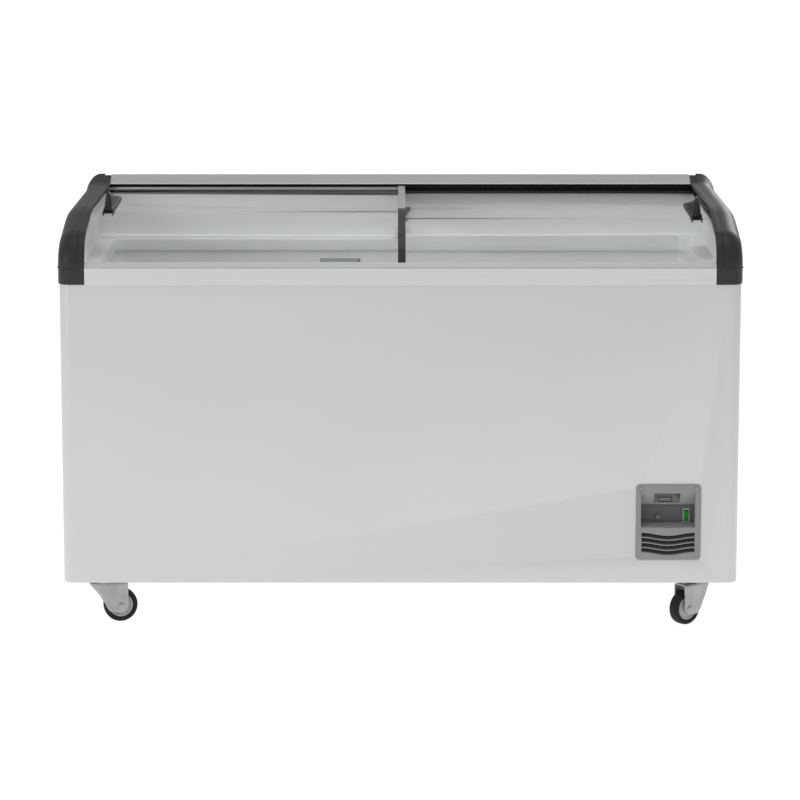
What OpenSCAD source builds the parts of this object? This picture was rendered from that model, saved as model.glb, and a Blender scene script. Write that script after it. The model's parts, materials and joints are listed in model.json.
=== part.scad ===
// Curved-glass display chest freezer with two sliding lids, on swivel casters.
// Millimetres. X runs to the right, the front faces -Y, Z is up from the floor.
// Cabinet pieces are drawn from the front plane (y = 0) and the cabinet's underside
// (z = 0); in_cabinet() then puts them in the row's frame.

/* [Overall] */
// Width over the end caps
overall_w = 1480; // [1460:10:1500]
// Depth from the front rail to the rear rail
overall_d = 740; // [730:5:750]
// Height of the cabinet's underside above the floor
caster_h = 104; // [104:1:108]

/* [Cabinet] */
// Height of the painted shell, up to the rails
shell_h = 658; // [650:2:660]
// Thickness of the painted sheet
sheet_t = 1.2; // [1:0.1:1.5]
// Radius of the cabinet's upright corners
corner_r = 25.5; // [22:0.5:25.5]
// Set-back of the shell behind the rails and caps
reveal = 2.5; // [2:0.5:2.5]
// Thickness of the liner
liner_t = 1.5; // [1:0.1:1.6]
// Height of the storage floor above the underside
floor_z = 68; // [60:2:76]
// Height of the step over the machine compartment
step_z = 330; // [320:5:350]
// Where the step starts, to the right of the centre
step_x = 398; // [390:2:400]

/* [Lid arch] */
// Height of the flat part of the lids above the underside
lid_top = 802; // [800:1:802]
// Radius of the rounded front of the arch
bull_r = 76; // [74:1:78]
// Angle of the ramp behind the rounded front
ramp_a = 12.3; // [12:0.1:12.5]
// Length of that ramp
ramp_l = 119; // [117:1:120]
// Radius where the ramp meets the flat part
bend_r = 320; // [300:10:340]
// Depth of the upper glass below the arch
upper_o = 12; // [12:0.5:12.5]
// Depth of the lower glass below the arch
lower_o = 27; // [27:0.5:27.5]
// Thickness of the glass
glass_t = 5; // [4:0.5:5]

/* [End caps] */
// Width of a cap, measured inwards from its outer face
cap_w = 59; // [57:1:60]
// Radius of a cap's upright corners
cap_corner_r = 28; // [24:1:30]
// Height where the caps meet the side mouldings
cap_z = 694.5; // [693:0.5:695]

/* [Casters] */
// Radius of a tyre
wheel_r = 37.5; // [36:0.5:37.5]
// Width of a tyre
wheel_w = 24; // [20:1:24]
// Radius of a hub
hub_r = 26; // [22:1:27]
// Distance from the swivel axis to the axle
trail = 36; // [32:1:38]
// Distance of the swivel axes from the centre, across the cabinet
caster_x = 655; // [645:1:660]
// Distance of the swivel axes from the front and the rear
caster_inset = 75; // [72:1:85]

/* [Control panel] */
// Centre of the control panel, to the right of the cabinet's centre
panel_x = 584.5; // [575:0.5:590]
// Centre of the control panel, above the underside
panel_z = 135.5; // [134:0.5:140]
// Width of the control panel
panel_w = 141.5; // [140:0.5:146]
// Height of the control panel
panel_h = 168.5; // [166:0.5:172]

/* [Hidden] */
$fn = 48;
eps = 0.5;

// Cabinet
half_w = overall_w / 2;
shell_x = half_w - reveal;
rail_x = half_w - cap_w;
shell_top = shell_h + 12;
foam_top = shell_h + 12;
back_y = overall_d - reveal;

// Storage space
collar_x = 662;
collar_front = 75;
collar_back = overall_d - 80;
collar_low = 648;
collar_top = 681;
tank_gap = 4.5;
tank_x = collar_x + tank_gap;
tank_front = collar_front + tank_gap;
tank_back = collar_back + tank_gap;
tank_r = 30;
coil_gap = 9.5;
wall_x = 698;
wall_back = overall_d - 43;
wall_t = 3;

// Machine compartment
machine_x0 = 462;
machine_x1 = shell_x - sheet_t;
machine_top = 262;
machine_cx = 594;

// Arch
bull_z = lid_top - bend_r * (1 - cos(ramp_a)) - ramp_l * sin(ramp_a) - bull_r * cos(ramp_a);
bend_y = bull_r * (1 - sin(ramp_a)) + ramp_l * cos(ramp_a) + bend_r * sin(ramp_a);
lid_edge = rail_x + 9;
glass_edge = lid_edge - 1;
glass_foot = bull_z - 11;
glass_back = overall_d - 25;
bar_l = -5;
bar_r = 10.8;
handle_len = 240;
handle_w = 24;
handle_front = 246;
fin_w = 9;
fin_h = 42;
left_handle_x = -648.5;
right_handle_x = 658.5;

// Rails and tracks
rail_t = 2.5;
lip_y = 11;
lip_top = bull_z + 11.5;
web_z = bull_z - 21;
rear_lip = overall_d - 42;
rear_top = lid_top + 16;
track_end = wall_x + 4;
track_low = 757;
frame_t = 2;
channel_gap = 1.4;

// Screws
screw_r = 4;
panel_screw_dx = 118 / 2;
panel_screw_z = 73.8;

// Casters: the plate's corner, then the angle at which each fork trails
casters = [[-1, 0, 14], [1, 0, 219], [-1, 1, 95], [1, 1, 82]];
plate_t = 2.5;
plate_w = 86;
plate_d = 66;
bolt_dx = 34;
bolt_dy = 24;
bolt_r = 4;
bolt_head = 5.3;
race_r = 24;
crown_z = 88;
crown_t = 3;
kingpin_r = 5;
axle_r = 5;
race_z = crown_z + crown_t + 0.4;
run_gap = 0.05;
leg_t = 2.5;
leg_y = wheel_w / 2 + 3.5;
leg_out = leg_y + leg_t;
fork_tail = trail + 14;

// Puts cabinet pieces in the row's frame
module in_cabinet() translate([0, -overall_d / 2, caster_h]) children();

// A side-view outline (y, z) drawn out from x0 to x1
module along_x(x0, x1) translate([x0, 0, 0]) rotate([90, 0, 90]) linear_extrude(x1 - x0) children();

// A front-view outline (x, z) drawn out from y0 to y1
module along_y(y0, y1) translate([0, y1, 0]) rotate([90, 0, 0]) linear_extrude(y1 - y0) children();

// A box between two opposite corners
module box(a, b) translate(a) cube(b - a);

// A rectangle with round corners, between two opposite corners
module round_rect(a, b, r) {
    translate([a[0] + r, a[1]]) square([b[0] - a[0] - 2 * r, b[1] - a[1]]);
    translate([a[0], a[1] + r]) square([b[0] - a[0], b[1] - a[1] - 2 * r]);
    for (x = [a[0] + r, b[0] - r], y = [a[1] + r, b[1] - r]) translate([x, y]) circle(r);
}

// A tube of radius r along a list of points
module pipe(points, r) {
    for (i = [0:len(points) - 2]) {
        d = points[i + 1] - points[i];
        translate(points[i]) rotate([0, acos(d[2] / norm(d)), atan2(d[1], d[0])]) cylinder(norm(d), r = r);
        if (i > 0) translate(points[i]) sphere(r);
    }
}

function reversed(p) = [for (i = [len(p) - 1:-1:0]) p[i]];

// Points of an arc round (cy, cz), from angle a0 to angle a1
function arc(cy, cz, r, a0, a1, n) =
    [for (i = [0:n]) let(a = a0 + (a1 - a0) * i / n) [cy + r * cos(a), cz + r * sin(a)]];

// Side view of the arch at depth o below its surface, from height z0 back to y1
function arch(o, z0, y1) = concat(
    [[o, z0]],
    arc(bull_r, bull_z, bull_r - o, 180, 90 + ramp_a, 10),
    arc(bend_y, lid_top - bend_r, bend_r - o, 90 + ramp_a, 90, 5),
    [[y1, lid_top - o]]);

// A layer of the arch, from depth o0 down to depth o1
module arch_band(o0, o1, z0, y1) polygon(concat(arch(o0, z0, y1), reversed(arch(o1, z0, y1))));

// Everything under the arch at depth o, down to height z0 and back to y1
module under_arch(o, z0, y1) polygon(concat(arch(o, z0, y1), [[y1, z0]]));

// ---------------------------------------------------------------- cabinet

module shell_plan(inset, r) round_rect(
    [-shell_x + inset, reveal + inset], [shell_x - inset, back_y + 30], r - inset);

module outer_shell() color("gainsboro") in_cabinet() difference() {
    linear_extrude(shell_top) intersection() {
        difference() {
            shell_plan(0, corner_r);
            shell_plan(sheet_t, corner_r);
        }
        translate([-half_w, 0]) square([overall_w, back_y - sheet_t]);
    }
    along_y(0, 20) round_rect(
        [panel_x - panel_w / 2 + 3.5, panel_z - panel_h / 2 + 5],
        [panel_x + panel_w / 2 - 3.5, panel_z + panel_h / 2 - 5], 4);
}

grille_x0 = machine_x0 + 54;
grille_x1 = machine_x1 - 18;
grille_mid = (grille_x0 + grille_x1) / 2;
grille_z0 = 24;
grille_z1 = 240;

module rear_panel() color("silver") in_cabinet() difference() {
    box([-shell_x, back_y - sheet_t, 0], [shell_x, back_y, shell_top]);
    box([grille_x0 + 10, back_y - 5, grille_z0 + 10], [grille_x1 - 10, back_y + 5, grille_z1 - 10]);
    translate([cord_x, back_y - 5, cord_z]) rotate([-90, 0, 0]) cylinder(10, r = cord_hole_r);
}

drain_x = -560;
drain_y = 130;
drain_hole_r = 14;

module base_pan() color("darkgray") in_cabinet() difference() {
    union() {
        linear_extrude(2) intersection() {
            shell_plan(sheet_t, corner_r);
            translate([-half_w, 0]) square([overall_w, back_y - sheet_t]);
        }
        for (y = [300, 470]) box([machine_x0 + 6, y, 2], [machine_x1 - 6, y + 20, 8]);
    }
    translate([drain_x, drain_y, -eps]) cylinder(5, r = drain_hole_r);
}

// Outer outline of the tank, grown by g
module tank_plan(g) round_rect(
    [-tank_x - liner_t - g, tank_front - liner_t - g],
    [tank_x + liner_t + g, tank_back + liner_t + g], tank_r + liner_t + g);

module foam_insulation() color("khaki") in_cabinet() difference() {
    translate([0, 0, 2]) linear_extrude(foam_top - 2) intersection() {
        shell_plan(sheet_t, corner_r);
        translate([-half_w, 0]) square([overall_w, back_y - sheet_t]);
    }
    difference() {
        translate([0, 0, floor_z - liner_t]) linear_extrude(foam_top) tank_plan(coil_gap);
        box([step_x, 0, 0], [half_w, overall_d, step_z - liner_t]);
    }
    box([machine_x0, 0, 0], [half_w, overall_d, machine_top]);
    box([-wall_x - 8, 40, collar_low], [wall_x + 8, wall_back + 8, foam_top + eps]);
    box([-half_w, 0, web_z - 4], [half_w, 50, foam_top + eps]);
    translate([drain_x, drain_y, 0]) cylinder(floor_z, r = drain_hole_r);
}

module inner_liner() color("white") in_cabinet() difference() {
    intersection() {
        translate([0, 0, floor_z - liner_t]) linear_extrude(collar_low - floor_z + liner_t) tank_plan(0);
        union() {
            box([-half_w, 0, 0], [step_x, overall_d, collar_low]);
            box([step_x - liner_t, 0, step_z - liner_t], [half_w, overall_d, collar_low]);
        }
    }
    difference() {
        translate([0, 0, floor_z]) linear_extrude(collar_low) tank_plan(-liner_t);
        box([step_x - liner_t, 0, 0], [half_w, overall_d, step_z]);
    }
    translate([drain_x, drain_y, floor_z - 5]) cylinder(10, r = drain_hole_r);
}

coil_r = 4;
coil_off = liner_t + 0.5 + coil_r;
coil_x = tank_x + coil_off;
coil_y0 = tank_front - coil_off;
coil_y1 = tank_back + coil_off;
coil_bend = tank_r + coil_off;
coil_z0 = 360;
coil_pitch = 45;
coil_turns = 6;

// One turn of tube round the tank
module coil_turn() {
    for (s = [-1, 1]) {
        translate([s * coil_x, coil_y0 + coil_bend, 0]) rotate([-90, 0, 0])
            cylinder(coil_y1 - coil_y0 - 2 * coil_bend, r = coil_r);
    }
    for (y = [coil_y0, coil_y1]) {
        translate([-coil_x + coil_bend, y, 0]) rotate([0, 90, 0])
            cylinder(2 * (coil_x - coil_bend), r = coil_r);
    }
    for (s = [0, 1]) mirror([s, 0, 0]) {
        translate([coil_x - coil_bend, coil_y1 - coil_bend, 0])
            rotate_extrude(angle = 90) translate([coil_bend, 0]) circle(coil_r);
        translate([coil_x - coil_bend, coil_y0 + coil_bend, 0]) rotate([0, 0, 270])
            rotate_extrude(angle = 90) translate([coil_bend, 0]) circle(coil_r);
    }
}

module evaporator_coil() color("peru") in_cabinet() union() {
    for (i = [0:coil_turns - 1]) translate([0, 0, coil_z0 + i * coil_pitch]) coil_turn();
    for (i = [0:coil_turns - 2]) {
        translate([i % 2 == 0 ? -300 : -260, coil_y1, coil_z0 + i * coil_pitch])
            cylinder(coil_pitch, r = coil_r);
    }
}

// White moulded frame round the mouth: ledge, inner face, side walls and rear wall
module collar() color("white") in_cabinet() difference() {
    union() {
        difference() {
            translate([0, 0, collar_low]) linear_extrude(collar_top - collar_low)
                translate([-wall_x - 4, 46]) square([2 * wall_x + 8, wall_back + 4 - 46]);
            translate([0, 0, collar_low - eps]) linear_extrude(collar_top - collar_low - wall_t + eps)
                difference() {
                    translate([-wall_x - 1, 49]) square([2 * wall_x + 2, wall_back + 1 - 49]);
                    round_rect([-collar_x - wall_t, collar_front - wall_t],
                        [collar_x + wall_t, collar_back + wall_t], tank_r);
                }
        }
        for (s = [0, 1]) mirror([s, 0, 0]) along_x(wall_x, wall_x + wall_t) intersection() {
            under_arch(lower_o + 10, collar_top - eps, wall_back);
            translate([46, collar_top - eps]) square([wall_back - 46, 120]);
        }
        along_x(-wall_x - wall_t, wall_x + wall_t) polygon([
            [wall_back - 3, collar_top - eps], [wall_back, collar_top + 30], [wall_back, track_low],
            [wall_back + wall_t, track_low], [wall_back + wall_t, collar_top - eps]]);
    }
    translate([0, 0, collar_low - 1]) linear_extrude(collar_top)
        round_rect([-collar_x, collar_front], [collar_x, collar_back], tank_r - 4);
}

// Galvanised plates inside the caps that carry the rails and the tracks
module end_frames() color("darkgray") in_cabinet() for (s = [0, 1]) mirror([s, 0, 0])
    along_x(track_end, track_end + frame_t) difference() {
        under_arch(5, web_z + 1, overall_d - 8);
        translate([110, collar_top + 22]) square([520, 60]);
        translate([-1, web_z]) square([5, 30]);
    }

module front_rail() color("lightgray") in_cabinet() along_x(-rail_x, rail_x) polygon([
    [0, shell_h], [0, bull_z], [lip_y - 1.5, lip_top], [lip_y, lip_top], [lip_y, lip_top - 3.5],
    [lip_y - 1.4, lip_top - 3.5], [rail_t, bull_z - 0.7], [rail_t, web_z], [44, web_z],
    [44, bull_z + 3], [45.5, bull_z + 3], [45.5, web_z - rail_t], [rail_t, web_z - rail_t],
    [rail_t, shell_h]]);

module rear_rail() color("lightgray") in_cabinet() along_x(-rail_x, rail_x) polygon([
    [rear_lip, lid_top - 6], [rear_lip, lid_top - 2], [overall_d - 3, rear_top], [overall_d, rear_top - 1.5],
    [overall_d, shell_h], [overall_d - rail_t, shell_h], [overall_d - rail_t, rear_top - 3.4],
    [rear_lip + 2.4, lid_top - 4.4], [rear_lip + 2.4, lid_top - 6]]);

module front_track() color("dimgray") in_cabinet() along_x(-track_end, track_end) difference() {
    translate([rail_t + 0.5, web_z]) square([40.8, 18]);
    for (o = [upper_o, lower_o]) translate([o - channel_gap, web_z + 3.5])
        square([glass_t + 2 * channel_gap, 20]);
}

module rear_track() color("dimgray") in_cabinet() along_x(-track_end, track_end) difference() {
    translate([rear_lip + 2, track_low]) square([29.5, lid_top - 8.5 - track_low]);
    for (o = [upper_o, lower_o]) translate([rear_lip, lid_top - o - glass_t - 2.2])
        square([28, glass_t + 4.4]);
    translate([rear_lip + 5, track_low - 1]) square([23, lid_top - lower_o - glass_t - 4 - track_low]);
}

// ---------------------------------------------------------------- end caps

cap_skin = 3;
strip_w = 15.4;
strip_t = 2;
rear_block_y = rear_lip + 1;

// Outline of caps and mouldings seen from above, grown inwards by g
module cap_plan(g) intersection() {
    round_rect([-half_w + g, g], [half_w - g, overall_d + 60], cap_corner_r - g);
    translate([-half_w, 0]) square([overall_w, overall_d - g]);
}

// Side view of the raised block at the rear of a cap, from y0 back, grown inwards by g
module rear_block(y0, g) polygon([
    [y0, 750], [y0, lid_top - 1 - g], [rear_block_y, lid_top - 1 - g], [overall_d - 4 - g, rear_top + 2 - g],
    [overall_d - g, rear_top - 1 - g], [overall_d - g, 750]]);

module end_cap() difference() {
    intersection() {
        along_x(rail_x, half_w) union() {
            under_arch(0, cap_z, overall_d);
            rear_block(rear_block_y - 1, 0);
        }
        linear_extrude(900) cap_plan(0);
    }
    intersection() {
        along_x(rail_x + 16, half_w - cap_skin) union() {
            under_arch(cap_skin, cap_z - eps, overall_d - cap_skin);
            rear_block(rear_block_y - 10, cap_skin);
        }
        linear_extrude(900) cap_plan(cap_skin);
    }
    along_x(rail_x - 1, rail_x + 16 + eps) under_arch(upper_o - 4, cap_z - eps, overall_d - cap_skin);
    along_x(rail_x - 1, rail_x + strip_w) arch_band(-1, strip_t, cap_z - eps, rear_block_y);
}

module right_end_cap() color([0.24, 0.24, 0.24]) in_cabinet() end_cap();

module left_end_cap() color([0.24, 0.24, 0.24]) in_cabinet() mirror([1, 0, 0]) end_cap();

module side_mouldings() color([0.25, 0.25, 0.25]) in_cabinet() for (s = [0, 1]) mirror([s, 0, 0])
    translate([0, 0, shell_h]) linear_extrude(cap_z - shell_h) intersection() {
        difference() {
            cap_plan(0);
            cap_plan(reveal);
        }
        translate([rail_x, 0]) square([cap_w, overall_d]);
    }

module trim_strips() color([0.22, 0.22, 0.22]) in_cabinet() for (s = [0, 1]) mirror([s, 0, 0])
    along_x(rail_x + 0.2, rail_x + strip_w - 0.6) arch_band(0, strip_t, cap_z, rear_block_y - 0.6);

// ---------------------------------------------------------------- lids

// Curved pane at depth o, from x0 to x1
module pane(o, x0, x1) along_x(x0, x1) arch_band(o, o + glass_t, glass_foot, glass_back);

// Metal edging of a pane: rear bar, outer side trim and centre bar
module lid_frame(o, x0, x1, bar0, bar1) difference() {
    union() {
        along_x(min(x0, bar0), max(x1, bar1)) translate([overall_d - 48, lid_top - o - glass_t - 1.8])
            square([32, glass_t + 3.6]);
        along_x(bar0, bar1) arch_band(o - 2, o + glass_t + 2, bull_z - 1, overall_d - 47);
        along_x(x0 < -300 ? x0 : x1 - 4, x0 < -300 ? x0 + 4 : x1)
            arch_band(o - 1.2, o + glass_t + 1.2, bull_z - 1, overall_d - 47);
    }
    along_x(x0 < -300 ? x0 + 1 : x0 + 2.5, x0 < -300 ? x1 - 2.5 : x1 - 1)
        arch_band(o, o + glass_t, glass_foot, glass_back);
    box([-half_w, 0, 0], [half_w, lip_y + 0.6, lip_top + 0.6]);
}

// Glide along the foot of a pane
module lid_runner(o, x0, x1) along_x(x0, x1) difference() {
    translate([o - 0.9, glass_foot - 5]) square([glass_t + 1.8, 13]);
    translate([o, glass_foot]) square([glass_t, 20]);
}

// Grip at the outer end of a pane: foot, fin that is tall at the front, and the plate under the glass
module handle(o, cx) translate([cx, handle_front, lid_top - o]) {
    translate([-handle_w / 2, 0, 0]) cube([handle_w, handle_len, 4]);
    along_x(-fin_w / 2, fin_w / 2) polygon([
        [5, 3], [13, fin_h], [22, fin_h], [handle_len - 10, 7], [handle_len - 4, 3]]);
    translate([-handle_w / 2, 0, -glass_t - 3]) cube([handle_w, handle_len, 3]);
    for (x = [-handle_w / 2, handle_w / 2 - 2.5])
        translate([x, 0, -glass_t - 8]) cube([2.5, handle_len, 5 + eps]);
}

module left_glass() color([0.8, 0.85, 0.86, 0.35]) in_cabinet() pane(upper_o, -glass_edge, bar_r - 2.5);
module left_frame() color("silver") in_cabinet() lid_frame(upper_o, -lid_edge, bar_r, bar_l, bar_r);
module left_runner() color("dimgray") in_cabinet() lid_runner(upper_o, -lid_edge, bar_r);
module left_handle() color([0.25, 0.25, 0.25]) in_cabinet() handle(upper_o, left_handle_x);

module right_glass() color([0.8, 0.85, 0.86, 0.35]) in_cabinet() pane(lower_o, bar_l + 3.5, glass_edge);
module right_frame() color("silver") in_cabinet()
    lid_frame(lower_o, bar_l + 1, lid_edge, bar_l + 1, bar_r - 1);
module right_runner() color("dimgray") in_cabinet() lid_runner(lower_o, bar_l + 1, lid_edge);
module right_handle() color([0.25, 0.25, 0.25]) in_cabinet() handle(lower_o, right_handle_x);

// ---------------------------------------------------------------- control panel

panel_low = panel_z - panel_h / 2;
recess_x0 = panel_x - 60;
recess_x1 = panel_x + 58.5;
recess_low = 123;
recess_high = 204;
recess_back = 30;
ceiling_z = 168;
ledge_z = 128.6;
slot_half = 58;
louvre_top = 105.3;
louvre_pitch = 11.3;
louvre_dip = 6.6;
louvre_open = 9.4;

// One wavy air slot, dipping to the middle, from x0 to x1
module louvre(x0, x1, z) polygon(concat(
    [for (i = [0:8]) let(x = x0 + (x1 - x0) * i / 8) [x, z + wave(x)]],
    [for (i = [8:-1:0]) let(x = x0 + (x1 - x0) * i / 8) [x, z - louvre_open + wave(x)]]));

function wave(x) = louvre_dip * (1 - cos(180 * (x - panel_x) / slot_half)) / 2;

module control_panel() color([0.52, 0.53, 0.53]) in_cabinet() difference() {
    union() {
        along_y(0.6, reveal) round_rect([panel_x - panel_w / 2, panel_low],
            [panel_x + panel_w / 2, panel_low + panel_h], 9);
        along_y(reveal - eps, recess_back + 2) difference() {
            round_rect([panel_x - 66, panel_low + 6], [panel_x + 66, panel_low + panel_h - 6], 4);
            round_rect([panel_x - 64, panel_low + 8], [panel_x + 64, panel_low + panel_h - 8], 3);
        }
        along_x(recess_x0 - 2, recess_x1 + 2) polygon([
            [reveal - eps, recess_low - 2], [reveal - eps, recess_high + 2],
            [recess_back + 2, ceiling_z], [recess_back + 2, ledge_z - 1.5]]);
    }
    along_x(recess_x0, recess_x1) polygon([[0, recess_low], [0, recess_high],
        [recess_back, ceiling_z], [recess_back, ledge_z], [1, recess_low]]);
    box([display_x - 29, 8, pocket_z0], [display_x + 29, 36, pocket_z1]);
    box([switch_x - 7, recess_back - 1, switch_z - 15], [switch_x + 7, recess_back + 4, switch_z + 14]);
    translate([knob_x, recess_back - 1, knob_z]) rotate([-90, 0, 0]) cylinder(5, r = 4);
    for (i = [0:3]) along_y(0, reveal + eps) {
        louvre(panel_x - slot_half, panel_x - 0.8, louvre_top - i * louvre_pitch);
        louvre(panel_x + 0.8, panel_x + slot_half, louvre_top - i * louvre_pitch);
    }
    for (s = [-1, 1]) translate([panel_x + s * panel_screw_dx, 0, panel_z + panel_screw_z])
        rotate([-90, 0, 0]) cylinder(6, r = 2.2);
}

display_x = panel_x - 2.2;
pocket_z0 = 175.5;
pocket_z1 = 199;
switch_x = 625.5;
switch_z = 145.2;
pivot_y = 3;
pivot_r = 1.2;
knob_x = 563;
knob_z = 143.6;
knob_r = 4.6;

module temperature_display() color([0.3, 0.3, 0.3]) in_cabinet() difference() {
    union() {
        box([display_x - 28.5, 24.5, pocket_z0 + 0.5], [display_x + 28.5, 42, pocket_z1 - 0.5]);
        box([display_x - 21.5, 22.8, 177.5], [display_x + 10, 24.5, 189]);
    }
    box([display_x - 19.5, 20, 179.3], [display_x + 8, 23.6, 187.2]);
}

module thermostat_body() color("gray") in_cabinet() difference() {
    union() {
        box([knob_x - 16, recess_back + 3, knob_z - 16], [knob_x + 16, recess_back + 26, knob_z + 10]);
        translate([knob_x, recess_back + 1, knob_z]) rotate([-90, 0, 0]) cylinder(3, r = 3.6);
    }
    translate([knob_x, recess_back - 2, knob_z]) rotate([-90, 0, 0]) cylinder(16, r = 2 + run_gap);
}

module thermostat_knob() color("darkgray") in_cabinet() translate([knob_x, 0, knob_z]) rotate([-90, 0, 0])
    difference() {
        union() {
            translate([0, 0, recess_back - 8]) cylinder(7.5, r = knob_r);
            translate([0, 0, recess_back - 2]) cylinder(14, r = 2);
        }
        translate([-0.6, -knob_r, recess_back - 9]) cube([1.2, 2 * knob_r, 2]);
    }

module switch_housing() color([0.62, 0.62, 0.62]) in_cabinet() translate([switch_x, recess_back, switch_z])
    difference() {
        union() {
            box([-7.5, -2, -16.4], [7.5, 0, 15.6]);
            box([-6.8, 0, -14.8], [6.8, 22, 13.8]);
        }
        box([-5.2, -3, -13.4], [5.2, 12, 12.8]);
        translate([-6.5, pivot_y, -0.5]) rotate([0, 90, 0]) cylinder(13, r = pivot_r + run_gap);
    }

// Rocker with its two faces at a shallow angle and a pivot pin
module switch_rocker() color([0.05, 0.5, 0.1]) in_cabinet() translate([switch_x, recess_back, switch_z])
    union() {
        along_x(-4.8, 4.8) polygon([
            [-5.2, 10.2], [-2.4, -0.5], [-1.6, -11.4], [1, -11.4], [6, -4], [6, 3], [1, 10.2]]);
        translate([-6.3, pivot_y, -0.5]) rotate([0, 90, 0]) cylinder(12.6, r = pivot_r);
    }

// Domed cross-head screws on the control panel and the rear grille
module housing_screws() color("silver") in_cabinet() {
    for (s = [-1, 1]) translate([panel_x + s * panel_screw_dx, 0, panel_z + panel_screw_z])
        rotate([-90, 0, 0]) screw(0.1, 9);
    for (x = [grille_x0 + 6, grille_x1 - 6], z = [grille_z0 + 5, grille_z1 - 5])
        translate([x, overall_d, z]) rotate([90, 0, 0]) screw(0.1, 6);
}

module screw(top, len) difference() {
    union() {
        translate([0, 0, top]) cylinder(0.5, r = screw_r);
        translate([0, 0, top + 0.5]) cylinder(len, r = 2);
    }
    for (a = [0, 90]) rotate([0, 0, a]) translate([-0.5, -2.4, 0]) cube([1, 4.8, top + 0.4]);
}

// ---------------------------------------------------------------- machine compartment

comp_y = 395;
comp_r = 74;
comp_z = 22;
comp_h = 150;
mount_dx = 82;
mount_dy = 66;

module compressor() color([0.1, 0.1, 0.1]) in_cabinet() translate([machine_cx, comp_y, comp_z]) {
    rotate_extrude($fn = 64) polygon(concat([[0, 0], [comp_r - 14, 0]],
        arc(comp_r - 14, 14, 14, -90, 0, 5), [[comp_r, comp_h * 0.55], [comp_r + 3, comp_h * 0.55],
        [comp_r + 3, comp_h * 0.6], [comp_r, comp_h * 0.6]],
        arc(comp_r - 40, comp_h - 40, 40, 0, 90, 6), [[0, comp_h]]));
    difference() {
        translate([-95, -80, -6]) cube([190, 160, 4]);
        for (x = [-mount_dx, mount_dx], y = [-mount_dy, mount_dy]) translate([x, y, -10]) cylinder(20, r = 7);
    }
    translate([0, 0, -3]) cylinder(6, r = comp_r - 20);
    translate([-34, -comp_r - 16, 60]) cube([56, 24, 52]);
}

module compressor_mounts() color([0.15, 0.15, 0.15]) in_cabinet()
    for (x = [-mount_dx, mount_dx], y = [-mount_dy, mount_dy]) translate([machine_cx + x, comp_y + y, 0]) {
        translate([0, 0, 8]) cylinder(7.8, r = 11);
        translate([0, 0, 15]) cylinder(8, r = 6.8);
        translate([0, 0, 20.2]) cylinder(4, r = 11);
    }

cond_y = 62;
cond_d = 44;
cond_x0 = machine_x0 + 18;
cond_x1 = machine_x1 - 26;
cond_z0 = 14;
cond_z1 = 232;
cond_rows = [cond_y + 11, cond_y + 33];
row_pitch = 25;
fin_pitch = 9;

// Fin-and-tube block: end plates, fins and the tubes through them
module condenser() color([0.35, 0.35, 0.35]) in_cabinet() {
    for (x = [cond_x0, cond_x1 - 1.5]) box([x, cond_y, cond_z0], [x + 1.5, cond_y + cond_d, cond_z1]);
    for (x = [cond_x0 + fin_pitch:fin_pitch:cond_x1 - fin_pitch])
        box([x, cond_y + 2, cond_z0 + 4], [x + 0.6, cond_y + cond_d - 2, cond_z1 - 4]);
    for (z = [cond_z0 + 22:row_pitch:cond_z1 - 15], y = cond_rows)
        translate([cond_x0 - 6, y, z]) rotate([0, 90, 0]) cylinder(cond_x1 - cond_x0 + 12, r = pipe_r);
    for (z = [cond_z0 + 22:2 * row_pitch:cond_z1 - 15], y = cond_rows)
        translate([cond_x1 + 6, y, z + row_pitch / 2]) rotate([90, 0, 0]) rotate([0, 0, -90])
            rotate_extrude(angle = 180) translate([row_pitch / 2, 0]) circle(pipe_r);
}

fan_y = 134;
fan_z = 124;
fan_r = 88;

module fan_shroud() color([0.3, 0.3, 0.3]) in_cabinet() difference() {
    union() {
        box([cond_x0, fan_y - 1, cond_z0], [cond_x1, fan_y + 1, cond_z1]);
        for (x = [cond_x0, cond_x1 - 2]) box([x, cond_y + cond_d, cond_z0], [x + 2, fan_y, cond_z1]);
        translate([machine_cx, fan_y - 1, fan_z]) rotate([-90, 0, 0]) cylinder(22, r = fan_r + 5);
    }
    translate([machine_cx, fan_y - 5, fan_z]) rotate([-90, 0, 0]) cylinder(40, r = fan_r + 3);
}

module fan_motor() color("gray") in_cabinet() translate([machine_cx, 0, fan_z]) difference() {
    union() {
        translate([0, fan_y + 24, 0]) rotate([-90, 0, 0]) cylinder(46, r = 32);
        for (a = [45, 135]) rotate([0, a, 0]) translate([-fan_r - 4, fan_y + 26, -5])
            cube([2 * fan_r + 8, 3, 10]);
        for (a = [45:90:315]) rotate([0, a, 0]) translate([fan_r, fan_y + 21, -5]) cube([4, 8, 10]);
    }
    translate([0, fan_y + 20, 0]) rotate([-90, 0, 0]) cylinder(30, r = 3 + run_gap);
}

module fan_blades() color([0.75, 0.75, 0.75]) in_cabinet() translate([machine_cx, fan_y, fan_z]) {
    translate([0, -4, 0]) rotate([-90, 0, 0]) cylinder(22, r = 20);
    translate([0, 17, 0]) rotate([-90, 0, 0]) cylinder(28, r = 3);
    for (a = [0:72:288]) rotate([0, a, 0]) translate([15, 7, 0]) rotate([28, 0, 0])
        linear_extrude(2) polygon([[0, -13], [fan_r - 20, -19], [fan_r - 18, 17], [0, 13]]);
}

pipe_r = 4;

left_pipe_x = machine_x0 + 14;
right_pipe_x = machine_x1 - 14;

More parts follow.
